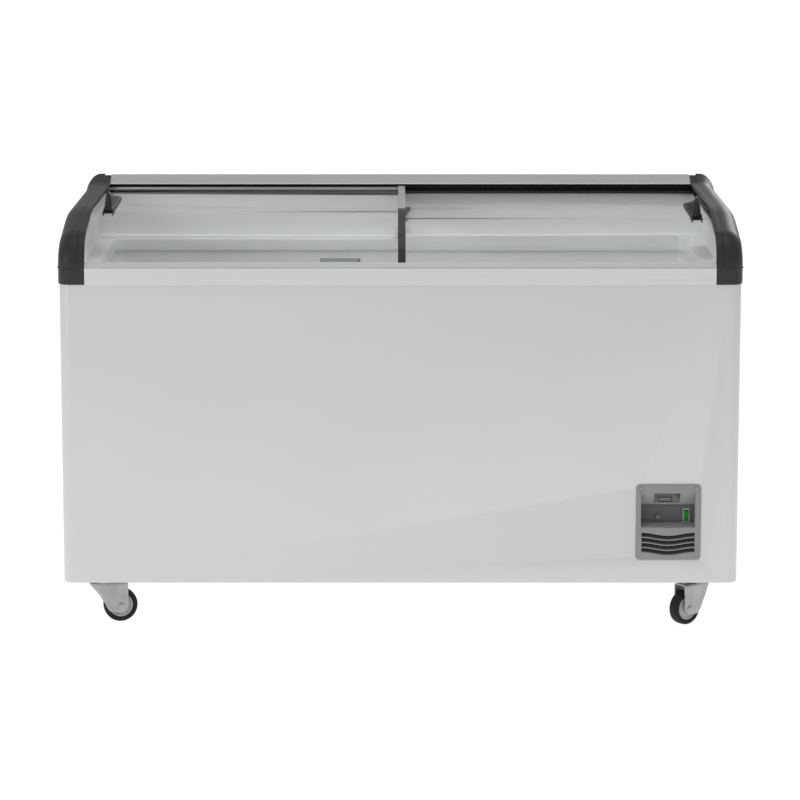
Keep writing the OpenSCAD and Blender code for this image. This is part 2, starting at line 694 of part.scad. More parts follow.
// Discharge pipe to the condenser, suction pipe from the evaporator, and the capillary
module refrigerant_pipes() color("peru") in_cabinet() {
    pipe([[machine_cx + 40, comp_y + 60, comp_z + 60], [machine_cx + 40, 520, comp_z + 60],
        [machine_cx + 40, 520, 210], [right_pipe_x, 520, 210], [right_pipe_x, cond_y + 60, 210],
        [right_pipe_x, cond_y + 60, 190]], pipe_r);
    pipe([[machine_cx - 40, comp_y + 60, comp_z + 90], [machine_cx - 40, 560, comp_z + 90],
        [machine_cx - 40, 560, 240], [left_pipe_x, 560, 240], [left_pipe_x, 560, machine_top]], pipe_r);
    pipe([[left_pipe_x, 250, 200], [left_pipe_x, 210, 200], [left_pipe_x, 210, 240]], 2);
}

module filter_drier() color("goldenrod") in_cabinet() translate([left_pipe_x, 250, 200])
    rotate([-90, 0, 0]) {
        cylinder(12, r1 = 3, r2 = 10);
        translate([0, 0, 12]) cylinder(70, r = 10);
        translate([0, 0, 82]) cylinder(12, r1 = 10, r2 = 3);
    }

grille_slots = 16;
grille_pitch = 12;
grille_slot_h = 6;

module rear_grille() color([0.3, 0.3, 0.3]) in_cabinet() difference() {
    box([grille_x0, back_y, grille_z0], [grille_x1, overall_d - 0.6, grille_z1]);
    for (z = [0:grille_pitch:(grille_slots - 1) * grille_pitch], x = [grille_x0 + 14, grille_mid + 4])
        box([x, back_y - 5, grille_z0 + 16 + z],
            [x + grille_mid - grille_x0 - 18, overall_d + 5, grille_z0 + 16 + grille_slot_h + z]);
    for (x = [grille_x0 + 6, grille_x1 - 6], z = [grille_z0 + 5, grille_z1 - 5])
        translate([x, back_y - 5, z]) rotate([-90, 0, 0]) cylinder(10, r = 2.2);
}

cord_x = 488;
cord_z = 60;
cord_hole_r = 9;

module cord_inlet() color([0.12, 0.12, 0.12]) in_cabinet() translate([cord_x, back_y, cord_z])
    rotate([-90, 0, 0]) difference() {
        union() {
            translate([0, 0, -8]) cylinder(8, r = cord_hole_r - 0.2);
            cylinder(reveal, r = 13);
        }
        translate([0, 0, -10]) cylinder(20, r = 4);
    }

// ---------------------------------------------------------------- inside the tank

plug_r = 11;

module drain_tube() color("white") in_cabinet() translate([drain_x, drain_y, -1]) difference() {
    cylinder(floor_z + 1, r = drain_hole_r - 0.2);
    translate([0, 0, -1]) cylinder(floor_z + 5, r = plug_r + run_gap);
}

module drain_plug() color([0.2, 0.2, 0.2]) in_cabinet() translate([drain_x, drain_y, floor_z]) {
    translate([0, 0, -22]) cylinder(22.4, r = plug_r);
    translate([0, 0, 0.4]) cylinder(3, r = 17);
    translate([-8, -1.5, 3]) cube([16, 3, 9]);
}

// Guard over the temperature probe on the rear wall of the tank
module probe_cover() color([0.5, 0.52, 0.52]) in_cabinet() hull() {
    box([-190, tank_back - 1, 520], [-98, tank_back, 628]);
    box([-184, tank_back - 16, 526], [-106, tank_back - 1, 622]);
}

stop_z = 735;

// Stop for the lids on the rear wall, behind the centre bars
module lid_stop() color([0.25, 0.25, 0.25]) in_cabinet() union() {
    box([-8, wall_back - 14, stop_z], [34, wall_back, stop_z + 9]);
    box([-5, wall_back - 8, stop_z - 10], [31, wall_back, stop_z]);
}

clip_xs = [-15.2, 13.3];
clip_z = 692;

// Two clips for a divider, each with its screw hole
module divider_clips() color("white") in_cabinet() for (x = clip_xs) difference() {
    box([x - 8, wall_back - 14, clip_z - 6], [x + 8, wall_back - 2.8, clip_z + 8]);
    box([x - 5, wall_back - 11.5, clip_z - 12], [x + 5, wall_back + 5, clip_z + 5.5]);
    translate([x, wall_back - 16, clip_z]) rotate([-90, 0, 0]) cylinder(10, r = 2);
}

// ---------------------------------------------------------------- casters

function caster_pos(c) = [c[0] * caster_x, (2 * c[1] - 1) * (overall_d / 2 - caster_inset)];

// Fixed plate, bearing race and kingpin of each caster
module caster_plates() color("silver") for (c = casters) translate([caster_pos(c)[0], caster_pos(c)[1], 0]) {
    difference() {
        translate([-plate_w / 2, -plate_d / 2, caster_h - plate_t]) cube([plate_w, plate_d, plate_t]);
        for (x = [-bolt_dx, bolt_dx], y = [-bolt_dy, bolt_dy])
            translate([x, y, caster_h - 5]) cylinder(10, r = bolt_r + 0.2);
    }
    translate([0, 0, race_z]) cylinder(caster_h - plate_t - race_z, r = race_r);
    translate([0, 0, crown_z - 4]) cylinder(16, r = kingpin_r);
    translate([0, 0, crown_z - 5]) cylinder(4, r = 10);
}

module caster_bolts() color("silver") for (c = casters, x = [-bolt_dx, bolt_dx], y = [-bolt_dy, bolt_dy])
    translate([caster_pos(c)[0] + x, caster_pos(c)[1] + y, caster_h - plate_t - bolt_head]) {
        cylinder(bolt_head, r = 6.5, $fn = 6);
        cylinder(bolt_head + plate_t, r = bolt_r);
    }

// Plan of the fork: two legs joined round the nose, grown by g from its inner faces
module fork_plan(g) {
    circle(leg_y + g);
    translate([0, -leg_y - g]) square([fork_tail + eps, 2 * (leg_y + g)]);
}

// Stamped fork with its axle; the wheel trails towards +X before it is turned
module fork() {
    difference() {
        union() {
            translate([0, 0, crown_z]) cylinder(crown_t, r = 30);
            translate([0, -leg_out, crown_z]) cube([fork_tail, 2 * leg_out, crown_t]);
        }
        translate([0, 0, crown_z - 1]) cylinder(10, r = kingpin_r + run_gap);
    }
    intersection() {
        linear_extrude(crown_z + crown_t) difference() {
            fork_plan(leg_t);
            fork_plan(0);
        }
        along_y(-leg_out, leg_out) difference() {
            union() {
                polygon([[-leg_out, crown_z + crown_t], [fork_tail, crown_z + crown_t], [fork_tail, wheel_r],
                    [trail, 19.5], [14, 21], [4, 31], [-2, 44], [-leg_out, 70]]);
                translate([trail, wheel_r]) circle(fork_tail - trail);
            }
            translate([trail, wheel_r]) circle(axle_r);
        }
    }
    translate([trail, -leg_out - 3, wheel_r]) rotate([-90, 0, 0]) {
        cylinder(2 * leg_out + 6, r = axle_r);
        cylinder(3, r = 8.5, $fn = 6);
        translate([0, 0, 2 * leg_out + 3]) cylinder(3, r = 8.5, $fn = 6);
    }
}

module hub() translate([trail, 0, wheel_r]) rotate([90, 0, 0]) difference() {
    union() {
        cylinder(wheel_w - 8, r = hub_r, center = true);
        cylinder(wheel_w + 4, r = 10, center = true);
    }
    cylinder(wheel_w + 10, r = axle_r + run_gap, center = true);
    for (s = [-1, 1]) translate([0, 0, s * (wheel_w / 2 - 2)]) difference() {
        cylinder(8, r = hub_r - 3, center = true);
        cylinder(10, r = 12, center = true);
    }
}

module tyre() translate([trail, 0, wheel_r]) rotate([90, 0, 0]) rotate_extrude($fn = 64) difference() {
    union() {
        translate([hub_r, -wheel_w / 2 + 3]) square([wheel_r - hub_r, wheel_w - 6]);
        translate([hub_r, -wheel_w / 2]) square([wheel_r - hub_r - 3, wheel_w]);
        for (s = [-1, 1]) translate([wheel_r - 3, s * (wheel_w / 2 - 3)]) circle(3);
    }
}

module at_caster(c) translate([caster_pos(c)[0], caster_pos(c)[1], 0]) rotate([0, 0, c[2]]) children();

module front_left_fork() color("silver") at_caster(casters[0]) fork();
module front_left_wheel() color("darkgray") at_caster(casters[0]) hub();
module front_left_tyre() color([0.1, 0.1, 0.1]) at_caster(casters[0]) tyre();
module front_right_fork() color("silver") at_caster(casters[1]) fork();
module front_right_wheel() color("darkgray") at_caster(casters[1]) hub();
module front_right_tyre() color([0.1, 0.1, 0.1]) at_caster(casters[1]) tyre();
module rear_left_fork() color("silver") at_caster(casters[2]) fork();
module rear_left_wheel() color("darkgray") at_caster(casters[2]) hub();
module rear_left_tyre() color([0.1, 0.1, 0.1]) at_caster(casters[2]) tyre();
module rear_right_fork() color("silver") at_caster(casters[3]) fork();
module rear_right_wheel() color("darkgray") at_caster(casters[3]) hub();
module rear_right_tyre() color([0.1, 0.1, 0.1]) at_caster(casters[3]) tyre();

outer_shell();
rear_panel();
base_pan();
foam_insulation();
inner_liner();
evaporator_coil();
collar();
end_frames();
front_rail();
rear_rail();
front_track();
rear_track();
left_end_cap();
right_end_cap();
side_mouldings();
trim_strips();
control_panel();
housing_screws();
temperature_display();
thermostat_body();
thermostat_knob();
switch_housing();
switch_rocker();
compressor();
compressor_mounts();
condenser();
fan_shroud();
fan_motor();
fan_blades();
refrigerant_pipes();
filter_drier();
rear_grille();
drain_tube();
drain_plug();
probe_cover();
lid_stop();
divider_clips();
cord_inlet();
caster_plates();
caster_bolts();
left_glass();
left_frame();
left_runner();
left_handle();
right_glass();
right_frame();
right_runner();
right_handle();
front_left_fork();
front_left_wheel();
front_left_tyre();
front_right_fork();
front_right_wheel();
front_right_tyre();
rear_left_fork();
rear_left_wheel();
rear_left_tyre();
rear_right_fork();
rear_right_wheel();
rear_right_tyre();
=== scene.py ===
"""Looks of a curved-glass display chest freezer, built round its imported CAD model."""

import json
import math

import bmesh
import bpy
from mathutils import Matrix, Vector

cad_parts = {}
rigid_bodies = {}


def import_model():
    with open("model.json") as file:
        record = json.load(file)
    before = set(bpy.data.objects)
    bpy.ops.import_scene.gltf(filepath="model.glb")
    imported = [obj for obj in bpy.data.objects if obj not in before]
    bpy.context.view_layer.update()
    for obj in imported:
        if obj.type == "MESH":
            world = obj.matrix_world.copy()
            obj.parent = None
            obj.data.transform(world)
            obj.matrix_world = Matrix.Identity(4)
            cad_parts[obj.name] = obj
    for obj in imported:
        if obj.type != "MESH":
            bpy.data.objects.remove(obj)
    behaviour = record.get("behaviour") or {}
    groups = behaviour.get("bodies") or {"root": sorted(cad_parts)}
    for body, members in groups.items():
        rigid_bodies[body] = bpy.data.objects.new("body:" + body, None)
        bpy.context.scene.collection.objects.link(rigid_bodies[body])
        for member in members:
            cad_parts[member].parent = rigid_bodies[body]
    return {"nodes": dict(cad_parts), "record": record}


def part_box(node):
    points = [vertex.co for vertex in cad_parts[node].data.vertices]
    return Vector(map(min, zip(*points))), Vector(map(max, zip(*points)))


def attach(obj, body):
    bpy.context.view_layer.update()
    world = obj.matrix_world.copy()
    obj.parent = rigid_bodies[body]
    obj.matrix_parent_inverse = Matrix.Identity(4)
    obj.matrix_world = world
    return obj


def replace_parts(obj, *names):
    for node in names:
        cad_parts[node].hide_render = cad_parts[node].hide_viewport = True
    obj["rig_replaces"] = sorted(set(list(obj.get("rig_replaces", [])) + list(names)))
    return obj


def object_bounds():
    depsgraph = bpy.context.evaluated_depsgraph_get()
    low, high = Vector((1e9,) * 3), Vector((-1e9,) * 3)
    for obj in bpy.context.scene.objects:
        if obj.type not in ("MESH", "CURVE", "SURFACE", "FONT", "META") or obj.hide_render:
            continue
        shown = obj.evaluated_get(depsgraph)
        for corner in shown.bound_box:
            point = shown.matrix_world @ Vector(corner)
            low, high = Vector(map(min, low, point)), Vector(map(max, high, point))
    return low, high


for old in list(bpy.data.objects):
    bpy.data.objects.remove(old)

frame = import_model()
cad_box = [list(corner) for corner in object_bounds()]
NODES = frame["nodes"]
BODY_OF = {n: b for b, members in frame["record"]["behaviour"]["bodies"].items() for n in members}
SLOT_OF = {s["node"]: s["material_slot"] for s in frame["record"]["subparts"]}

# ---------------------------------------------------------------- sizes, in millimetres
# Cabinet places are (x, y, z): x from the middle, y behind the front rail's face, z above the underside.
MM = 0.001
DEPTH = round((cad_box[1][1] - cad_box[0][1]) / MM, 2)
HALF_W = round(cad_box[1][0] / MM, 2)
UNDERSIDE = round(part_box("outer_shell")[0].z / MM, 2)
SHELL_H = round(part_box("front_rail")[0].z / MM, 2) - UNDERSIDE
RAIL_X = round(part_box("front_rail")[1].x / MM, 2)
CAP_Z = round(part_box("left_end_cap")[0].z / MM, 2) - UNDERSIDE
LID_TOP = round(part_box("left_glass")[1].z / MM, 2) - UNDERSIDE + 12
REAR_TOP = LID_TOP + 16
REVEAL = 2.5

BULL_R = 76
RAMP_A = math.radians(12.3)
RAMP_L = 119
BEND_R = 320
UPPER_O = 12
LOWER_O = 27
GLASS_T = 5
BULL_Z = (LID_TOP - BEND_R * (1 - math.cos(RAMP_A)) - RAMP_L * math.sin(RAMP_A)
          - BULL_R * math.cos(RAMP_A))
BEND_Y = BULL_R * (1 - math.sin(RAMP_A)) + RAMP_L * math.cos(RAMP_A) + BEND_R * math.sin(RAMP_A)
REAR_LIP = DEPTH - 42
STRIP_W = 15.4


def place(x, y, z):
    """A cabinet place, in the row frame."""
    return Vector((x * MM, (y - DEPTH / 2) * MM, (z + UNDERSIDE) * MM))


# ---------------------------------------------------------------- materials

def multiply(nodes, links, color, factor):
    """Multiplies a colour by a grey factor."""
    mix = nodes.new("ShaderNodeMix")
    mix.data_type = "RGBA"
    mix.blend_type = "MULTIPLY"
    mix.inputs["Factor"].default_value = 1.0
    links.new(color, mix.inputs["A"])
    links.new(factor, mix.inputs["B"])
    return mix.outputs["Result"]


def paint_depth_shade(nodes, links, where, color, y0, y1, low, high, least):
    """Paints shade into a colour: darkens it to least between depths y0 and y1, at cabinet heights from low
    to high, standing in for the shade deep in a recess.
    """
    split = nodes.new("ShaderNodeSeparateXYZ")
    links.new(where, split.inputs["Vector"])
    depth = nodes.new("ShaderNodeMapRange")
    depth.inputs["From Min"].default_value = (y0 - DEPTH / 2) * MM
    depth.inputs["From Max"].default_value = (y1 - DEPTH / 2) * MM
    depth.inputs["To Max"].default_value = 1 - least
    links.new(split.outputs["Y"], depth.inputs["Value"])
    depth_out = depth.outputs["Result"]
    for edge, way in ((low, 1), (high, -1)):
        gate = nodes.new("ShaderNodeMapRange")
        gate.inputs["From Min"].default_value = (edge + UNDERSIDE - way) * MM
        gate.inputs["From Max"].default_value = (edge + UNDERSIDE) * MM
        links.new(split.outputs["Z"], gate.inputs["Value"])
        both = nodes.new("ShaderNodeMath")
        both.operation = "MULTIPLY"
        links.new(depth_out, both.inputs[0])
        links.new(gate.outputs["Result"], both.inputs[1])
        depth_out = both.outputs["Value"]
    keep = nodes.new("ShaderNodeMath")
    keep.operation = "SUBTRACT"
    keep.inputs[0].default_value = 1.0
    links.new(depth_out, keep.inputs[1])
    return multiply(nodes, links, color, keep.outputs["Value"])


def material(name, color, roughness, metallic=0.0, vary=0.05, vary_scale=5.0, grain=0.15,
             grain_scale=900.0, grain_depth=0.00004, stretch=(1, 1, 1), rough_vary=0.06,
             coat=0.0, dust=0.0, spangle=0.0, specular=0.5, shade_zones=()):
    """A Principled surface with cloudy colour, fine grain in its bump and uneven roughness."""
    m = bpy.data.materials.new(name)
    m.use_nodes = True
    nodes, links = m.node_tree.nodes, m.node_tree.links
    shader = nodes["Principled BSDF"]
    shader.inputs["Metallic"].default_value = metallic
    shader.inputs["Specular IOR Level"].default_value = specular
    shader.inputs["Coat Weight"].default_value = coat
    shader.inputs["Coat Roughness"].default_value = 0.12
    where = nodes.new("ShaderNodeTexCoord")
    mapping = nodes.new("ShaderNodeMapping")
    mapping.inputs["Scale"].default_value = stretch
    links.new(where.outputs["Object"], mapping.inputs["Vector"])

    cloud = nodes.new("ShaderNodeTexNoise")
    cloud.inputs["Scale"].default_value = vary_scale
    cloud.inputs["Detail"].default_value = 5.0
    links.new(mapping.outputs["Vector"], cloud.inputs["Vector"])
    ramp = nodes.new("ShaderNodeValToRGB")
    low = [max(0.0, c * (1 - vary)) for c in color]
    high = [min(1.0, c * (1 + vary)) for c in color]
    ramp.color_ramp.elements[0].position = 0.3
    ramp.color_ramp.elements[0].color = (*low, 1)
    ramp.color_ramp.elements[1].position = 0.7
    ramp.color_ramp.elements[1].color = (*high, 1)
    links.new(cloud.outputs["Fac"], ramp.inputs["Fac"])
    tint = ramp.outputs["Color"]

    if spangle:
        cells = nodes.new("ShaderNodeTexVoronoi")
        cells.inputs["Scale"].default_value = 110.0
        links.new(where.outputs["Object"], cells.inputs["Vector"])
        shade = nodes.new("ShaderNodeMapRange")
        shade.inputs["To Min"].default_value = 1 - spangle
        shade.inputs["To Max"].default_value = 1 + spangle
        links.new(cells.outputs["Color"], shade.inputs["Value"])
        tint = multiply(nodes, links, tint, shade.outputs["Result"])

    if dust:
        geometry = nodes.new("ShaderNodeNewGeometry")
        edge = nodes.new("ShaderNodeMapRange")
        edge.inputs["From Min"].default_value = 0.52
        edge.inputs["From Max"].default_value = 0.62
        edge.inputs["To Max"].default_value = dust
        links.new(geometry.outputs["Pointiness"], edge.inputs["Value"])
        worn = nodes.new("ShaderNodeMix")
        worn.data_type = "RGBA"
        worn.inputs["B"].default_value = (*[min(1.0, c * 1.8 + 0.05) for c in color], 1)
        links.new(edge.outputs["Result"], worn.inputs["Factor"])
        links.new(tint, worn.inputs["A"])
        tint = worn.outputs["Result"]
    # Painted shade: each zone darkens the colour with depth behind the panel face
    for zone in shade_zones:
        tint = paint_depth_shade(nodes, links, where.outputs["Object"], tint, *zone)
    links.new(tint, shader.inputs["Base Color"])

    fine = nodes.new("ShaderNodeTexNoise")
    fine.inputs["Scale"].default_value = grain_scale
    fine.inputs["Detail"].default_value = 3.0
    links.new(mapping.outputs["Vector"], fine.inputs["Vector"])
    rough = nodes.new("ShaderNodeMapRange")
    rough.inputs["To Min"].default_value = max(0.02, roughness - rough_vary)
    rough.inputs["To Max"].default_value = min(1.0, roughness + rough_vary)
    links.new(fine.outputs["Fac"], rough.inputs["Value"])
    links.new(rough.outputs["Result"], shader.inputs["Roughness"])
    bump = nodes.new("ShaderNodeBump")
    bump.inputs["Strength"].default_value = grain
    bump.inputs["Distance"].default_value = grain_depth
    links.new(fine.outputs["Fac"], bump.inputs["Height"])
    links.new(bump.outputs["Normal"], shader.inputs["Normal"])
    return m


GLASS_IOR = 1.03


def glass_material(name, tint):
    """Clear glass that lets lamps through, with faint smears in its gloss."""
    m = bpy.data.materials.new(name)
    m.use_nodes = True
    nodes, links = m.node_tree.nodes, m.node_tree.links
    shader = nodes["Principled BSDF"]
    shader.inputs["Base Color"].default_value = (*tint, 1)
    shader.inputs["Transmission Weight"].default_value = 1.0
    shader.inputs["IOR"].default_value = GLASS_IOR
    where = nodes.new("ShaderNodeTexCoord")
    smear = nodes.new("ShaderNodeTexNoise")
    smear.inputs["Scale"].default_value = 7.0
    smear.inputs["Detail"].default_value = 6.0
    links.new(where.outputs["Object"], smear.inputs["Vector"])
    rough = nodes.new("ShaderNodeMapRange")
    rough.inputs["From Min"].default_value = 0.55
    rough.inputs["From Max"].default_value = 0.8
    rough.inputs["To Min"].default_value = 0.0
    rough.inputs["To Max"].default_value = 0.03
    links.new(smear.outputs["Fac"], rough.inputs["Value"])
    links.new(rough.outputs["Result"], shader.inputs["Roughness"])
    clear = nodes.new("ShaderNodeBsdfTransparent")
    clear.inputs["Color"].default_value = (*tint, 1)
    path = nodes.new("ShaderNodeLightPath")
    mix = nodes.new("ShaderNodeMixShader")
    links.new(path.outputs["Is Shadow Ray"], mix.inputs["Fac"])
    links.new(shader.outputs["BSDF"], mix.inputs[1])
    links.new(clear.outputs["BSDF"], mix.inputs[2])
    links.new(mix.outputs["Shader"], nodes["Material Output"].inputs["Surface"])
    return m


BRUSH = (0.02, 1, 1)
MATS = {
    "white_enamel": material("white_enamel", (0.68, 0.685, 0.695), 0.38, vary=0.012, vary_scale=2.5,
                             grain=0.12, grain_scale=260, grain_depth=0.00012, rough_vary=0.05, coat=0.15),
    "zinc_sheet": material("zinc_sheet", (0.55, 0.56, 0.57), 0.45, metallic=0.9, vary=0.08, spangle=0.10),
    "galvanised": material("galvanised", (0.45, 0.46, 0.47), 0.5, metallic=0.9, vary=0.1, spangle=0.16),
    "foam": material("foam", (0.80, 0.70, 0.44), 0.95, vary=0.12, vary_scale=60, grain=0.6,
                     grain_scale=500, grain_depth=0.0006),
    "liner_white": material("liner_white", (0.83, 0.84, 0.84), 0.42, vary=0.015, grain=0.3, grain_scale=220,
                            grain_depth=0.00015),
    "copper": material("copper", (0.72, 0.36, 0.20), 0.35, metallic=1.0, vary=0.15, vary_scale=30),
    "collar_white": material("collar_white", (0.84, 0.845, 0.85), 0.32, vary=0.012, grain=0.1,
                             grain_scale=700),
    "anodised": material("anodised", (0.66, 0.67, 0.68), 0.42, metallic=0.75, vary=0.03, stretch=BRUSH,
                         vary_scale=260, grain=0.25, grain_scale=1500, grain_depth=0.00003),
    "track_black": material("track_black", (0.035, 0.035, 0.036), 0.5, vary=0.2, specular=0.3),
    "cap_grey": material("cap_grey", (0.027, 0.027, 0.028), 0.42, vary=0.06, grain=0.35, grain_scale=1400,
                         grain_depth=0.00005, rough_vary=0.05, specular=0.3),
    # panel_grey's zones are painted shade: darker at the back of the recess and on the blades behind the
    # slots
    "panel_grey": material("panel_grey", (0.285, 0.29, 0.288), 0.5, vary=0.04, grain=0.35, grain_scale=1600,
                           grain_depth=0.00005, specular=0.3,
                           shade_zones=((24.5, 28.5, 120, 230, 0.36), (0.8, 3.2, 40, 118, 0.25))),
    "screw_zinc": material("screw_zinc", (0.34, 0.34, 0.34), 0.34, metallic=0.8, vary=0.1, vary_scale=200),
    "display_plastic": material("display_plastic", (0.14, 0.145, 0.145), 0.35, vary=0.08, coat=0.1),
    "thermostat_steel": material("thermostat_steel", (0.5, 0.5, 0.5), 0.4, metallic=0.9, vary=0.08),
    "knob_grey": material("knob_grey", (0.16, 0.16, 0.16), 0.5, vary=0.08, grain=0.3, grain_scale=2000),
    "switch_grey": material("switch_grey", (0.36, 0.36, 0.36), 0.35, vary=0.04),
    "rocker_green": material("rocker_green", (0.002, 0.30, 0.004), 0.45, vary=0.1, vary_scale=90,
                             specular=0.12),
    "compressor_black": material("compressor_black", (0.015, 0.015, 0.016), 0.25, vary=0.2, dust=0.25,
                                 coat=0.3),
    "rubber_black": material("rubber_black", (0.02, 0.02, 0.02), 0.75, vary=0.2, grain=0.5,
                             grain_depth=0.0001),
    "condenser_black": material("condenser_black", (0.03, 0.03, 0.03), 0.55, vary=0.3, dust=0.35),
    "shroud_black": material("shroud_black", (0.03, 0.03, 0.03), 0.45, vary=0.15, dust=0.2),
    "motor_steel": material("motor_steel", (0.32, 0.32, 0.33), 0.4, metallic=0.9, vary=0.12),
    "fan_aluminium": material("fan_aluminium", (0.62, 0.62, 0.63), 0.35, metallic=1.0, vary=0.08),
    "drier_copper": material("drier_copper", (0.70, 0.38, 0.20), 0.3, metallic=1.0, vary=0.2, vary_scale=40),
    "grille_black": material("grille_black", (0.03, 0.03, 0.03), 0.5, vary=0.15, grain=0.4, dust=0.2),
    "drain_white": material("drain_white", (0.78, 0.78, 0.77), 0.45, vary=0.03),
    "probe_grey": material("probe_grey", (0.30, 0.32, 0.32), 0.45, vary=0.04, grain=0.3),
    "stop_grey": material("stop_grey", (0.07, 0.07, 0.07), 0.45, vary=0.08, grain=0.3),
    "clip_white": material("clip_white", (0.72, 0.73, 0.73), 0.35, vary=0.03),
    "inlet_black": material("inlet_black", (0.02, 0.02, 0.02), 0.6, vary=0.15, grain=0.4),
    "glass": glass_material("glass", (0.985, 0.992, 0.99)),
    "handle_grey": material("handle_grey", (0.030, 0.030, 0.031), 0.38, specular=0.3, vary=0.08, grain=0.3,
                            grain_scale=1500),
    "runner_black": material("runner_black", (0.02, 0.02, 0.02), 0.45, vary=0.2),
    "frame_aluminium": material("frame_aluminium", (0.60, 0.61, 0.62), 0.33, metallic=0.85, vary=0.03,
                                stretch=BRUSH, vary_scale=260, grain=0.2, grain_scale=1500,
                                grain_depth=0.00003),
    "caster_zinc": material("caster_zinc", (0.40, 0.405, 0.40), 0.36, metallic=0.7, vary=0.12,
                            vary_scale=25, spangle=0.05, rough_vary=0.1, dust=0.2),
    "hub_grey": material("hub_grey", (0.42, 0.43, 0.43), 0.42, vary=0.06, grain=0.3, grain_scale=1200),
    "tyre_black": material("tyre_black", (0.007, 0.007, 0.007), 0.62, specular=0.3, vary=0.25, vary_scale=60,
                           grain=0.5, grain_depth=0.00012, dust=0.08),
}

# ---------------------------------------------------------------- mesh tools


def new_piece(name, bm, node, extra=(), sharp=32, slot=None):
    """Turns bm into a piece that stands for a CAD node, on that node's body and in its slot."""
    bmesh.ops.recalc_face_normals(bm, faces=bm.faces)
    mesh = bpy.data.meshes.new(name)
    bm.to_mesh(mesh)
    bm.free()
    mesh.polygons.foreach_set("use_smooth", [True] * len(mesh.polygons))
    mesh.set_sharp_from_angle(angle=math.radians(sharp))
    slot = slot or SLOT_OF[node]
    mesh.materials.append(MATS[slot])
    piece = bpy.data.objects.new(name, mesh)
    bpy.context.scene.collection.objects.link(piece)
    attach(piece, BODY_OF[node])
    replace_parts(piece, node, *extra)
    return piece


def bevel(bm, width, segments=2, angle=30, edges=None):
    """Rounds the edges that turn by more than angle."""
    if edges is None:
        edges = [e for e in bm.edges
                 if len(e.link_faces) == 2 and e.calc_face_angle(0) > math.radians(angle)]
    bmesh.ops.bevel(bm, geom=edges, offset=width * MM, segments=segments, profile=0.5,
                    affect="EDGES", clamp_overlap=True)


def refined(node, width, segments=2):
    """The CAD node's own shape with its sharp edges rounded."""
    bm = bmesh.new()
    bm.from_mesh(NODES[node].data)
    bmesh.ops.remove_doubles(bm, verts=bm.verts, dist=1e-6)
    bmesh.ops.dissolve_limit(bm, angle_limit=math.radians(0.4), verts=bm.verts, edges=bm.edges)
    bevel(bm, width, segments)
    return new_piece(node + "_piece", bm, node)


def add_loop(bm, points):
    return [bm.verts.new(p) for p in points]


def join_loops(bm, a, b, closed=True):
    n = len(a)
    for i in range(n if closed else n - 1):
        j = (i + 1) % n
        bm.faces.new((a[i], a[j], b[j], b[i]))


def add_prism(bm, outline, start, end, at, width=0.0, segments=2):
    """Draws an outline out from start to end, where at(u, v, t) gives each corner's place."""
    low = add_loop(bm, [at(u, v, start) for u, v in outline])
    high = add_loop(bm, [at(u, v, end) for u, v in outline])
    faces = [bm.faces.new(low), bm.faces.new(list(reversed(high)))]
    before = len(bm.faces)
    join_loops(bm, low, high)
    bm.faces.ensure_lookup_table()
    faces += bm.faces[before:]
    if width:
        bmesh.ops.recalc_face_normals(bm, faces=faces)
        edges = {e for f in faces for e in f.edges if e.calc_face_angle(0) > math.radians(25)}
        bevel(bm, width, segments, edges=list(edges))


def side(u, v, t):
    """Outline (y, z) drawn out along x."""
    return place(t, u, v)


def front(u, v, t):
    """Outline (x, z) drawn out along y."""
    return place(u, t, v)


def rect(x0, z0, x1, z1):
    return [(x0, z0), (x1, z0), (x1, z1), (x0, z1)]


def round_rect(x0, z0, x1, z1, r, n=6):
    points = []
    for cx, cz, start in ((x1 - r, z0 + r, -90), (x1 - r, z1 - r, 0), (x0 + r, z1 - r, 90),
                          (x0 + r, z0 + r, 180)):
        for i in range(n + 1):
            a = math.radians(start + 90 * i / n)
            points.append((cx + r * math.cos(a), cz + r * math.sin(a)))
    return points


def add_lathe(bm, profile, steps=64, closed=False):
    """Turns (radius, height) points round the local Z axis; radius 0 closes an end."""
    rings = []
    for r, h in profile:
        count = steps if r else 1
        rings.append([bm.verts.new((r * math.cos(2 * math.pi * i / count),
                                    r * math.sin(2 * math.pi * i / count), h))
                      for i in range(count)])
    pairs = list(zip(rings, rings[1:]))
    if closed:
        pairs.append((rings[-1], rings[0]))
    for a, b in pairs:
        if len(a) == len(b):
            join_loops(bm, a, b)
            continue
        tip, ring = (a[0], b) if len(a) == 1 else (b[0], a)
        for i in range(steps):
            bm.faces.new((tip, ring[i], ring[(i + 1) % steps]))


def carve(bm, cutter):
    """Returns bm's solids with the cutter's taken away; both are used up."""
    pair = []
    for source in (bm, cutter):
        bmesh.ops.recalc_face_normals(source, faces=source.faces)
        mesh = bpy.data.meshes.new("carving")
        source.to_mesh(mesh)
        source.free()
        pair.append(bpy.data.objects.new("carving", mesh))
        bpy.context.scene.collection.objects.link(pair[-1])
    cut = pair[0].modifiers.new("cut", "BOOLEAN")
    cut.operation = "DIFFERENCE"
    cut.solver = "EXACT"
    cut.use_self = True
    cut.object = pair[1]
    result = bmesh.new()
    result.from_object(pair[0], bpy.context.evaluated_depsgraph_get())
    for obj in pair:
        bpy.data.objects.remove(obj)
    return result


def arch_points(foot, back):
    """The arch's side view from its front foot to the rear, as (y, z)."""
    points = [(0.0, foot)] if foot < BULL_Z else []
    first = math.pi - math.asin(max(0.0, foot - BULL_Z) / BULL_R)
    last = math.pi / 2 + RAMP_A
    for i in range(21):
        a = first + (last - first) * i / 20
        points.append((BULL_R + BULL_R * math.cos(a), BULL_Z + BULL_R * math.sin(a)))
    for i in range(1, 6):
        t = i / 6
        points.append((BULL_R * (1 - math.sin(RAMP_A)) + RAMP_L * math.cos(RAMP_A) * t,
                       BULL_Z + BULL_R * math.cos(RAMP_A) + RAMP_L * math.sin(RAMP_A) * t))
    for i in range(13):
        a = math.pi / 2 + RAMP_A * (1 - i / 12)
        points.append((BEND_Y + BEND_R * math.cos(a), LID_TOP - BEND_R + BEND_R * math.sin(a)))
    points.append((back, float(LID_TOP)))
    return points


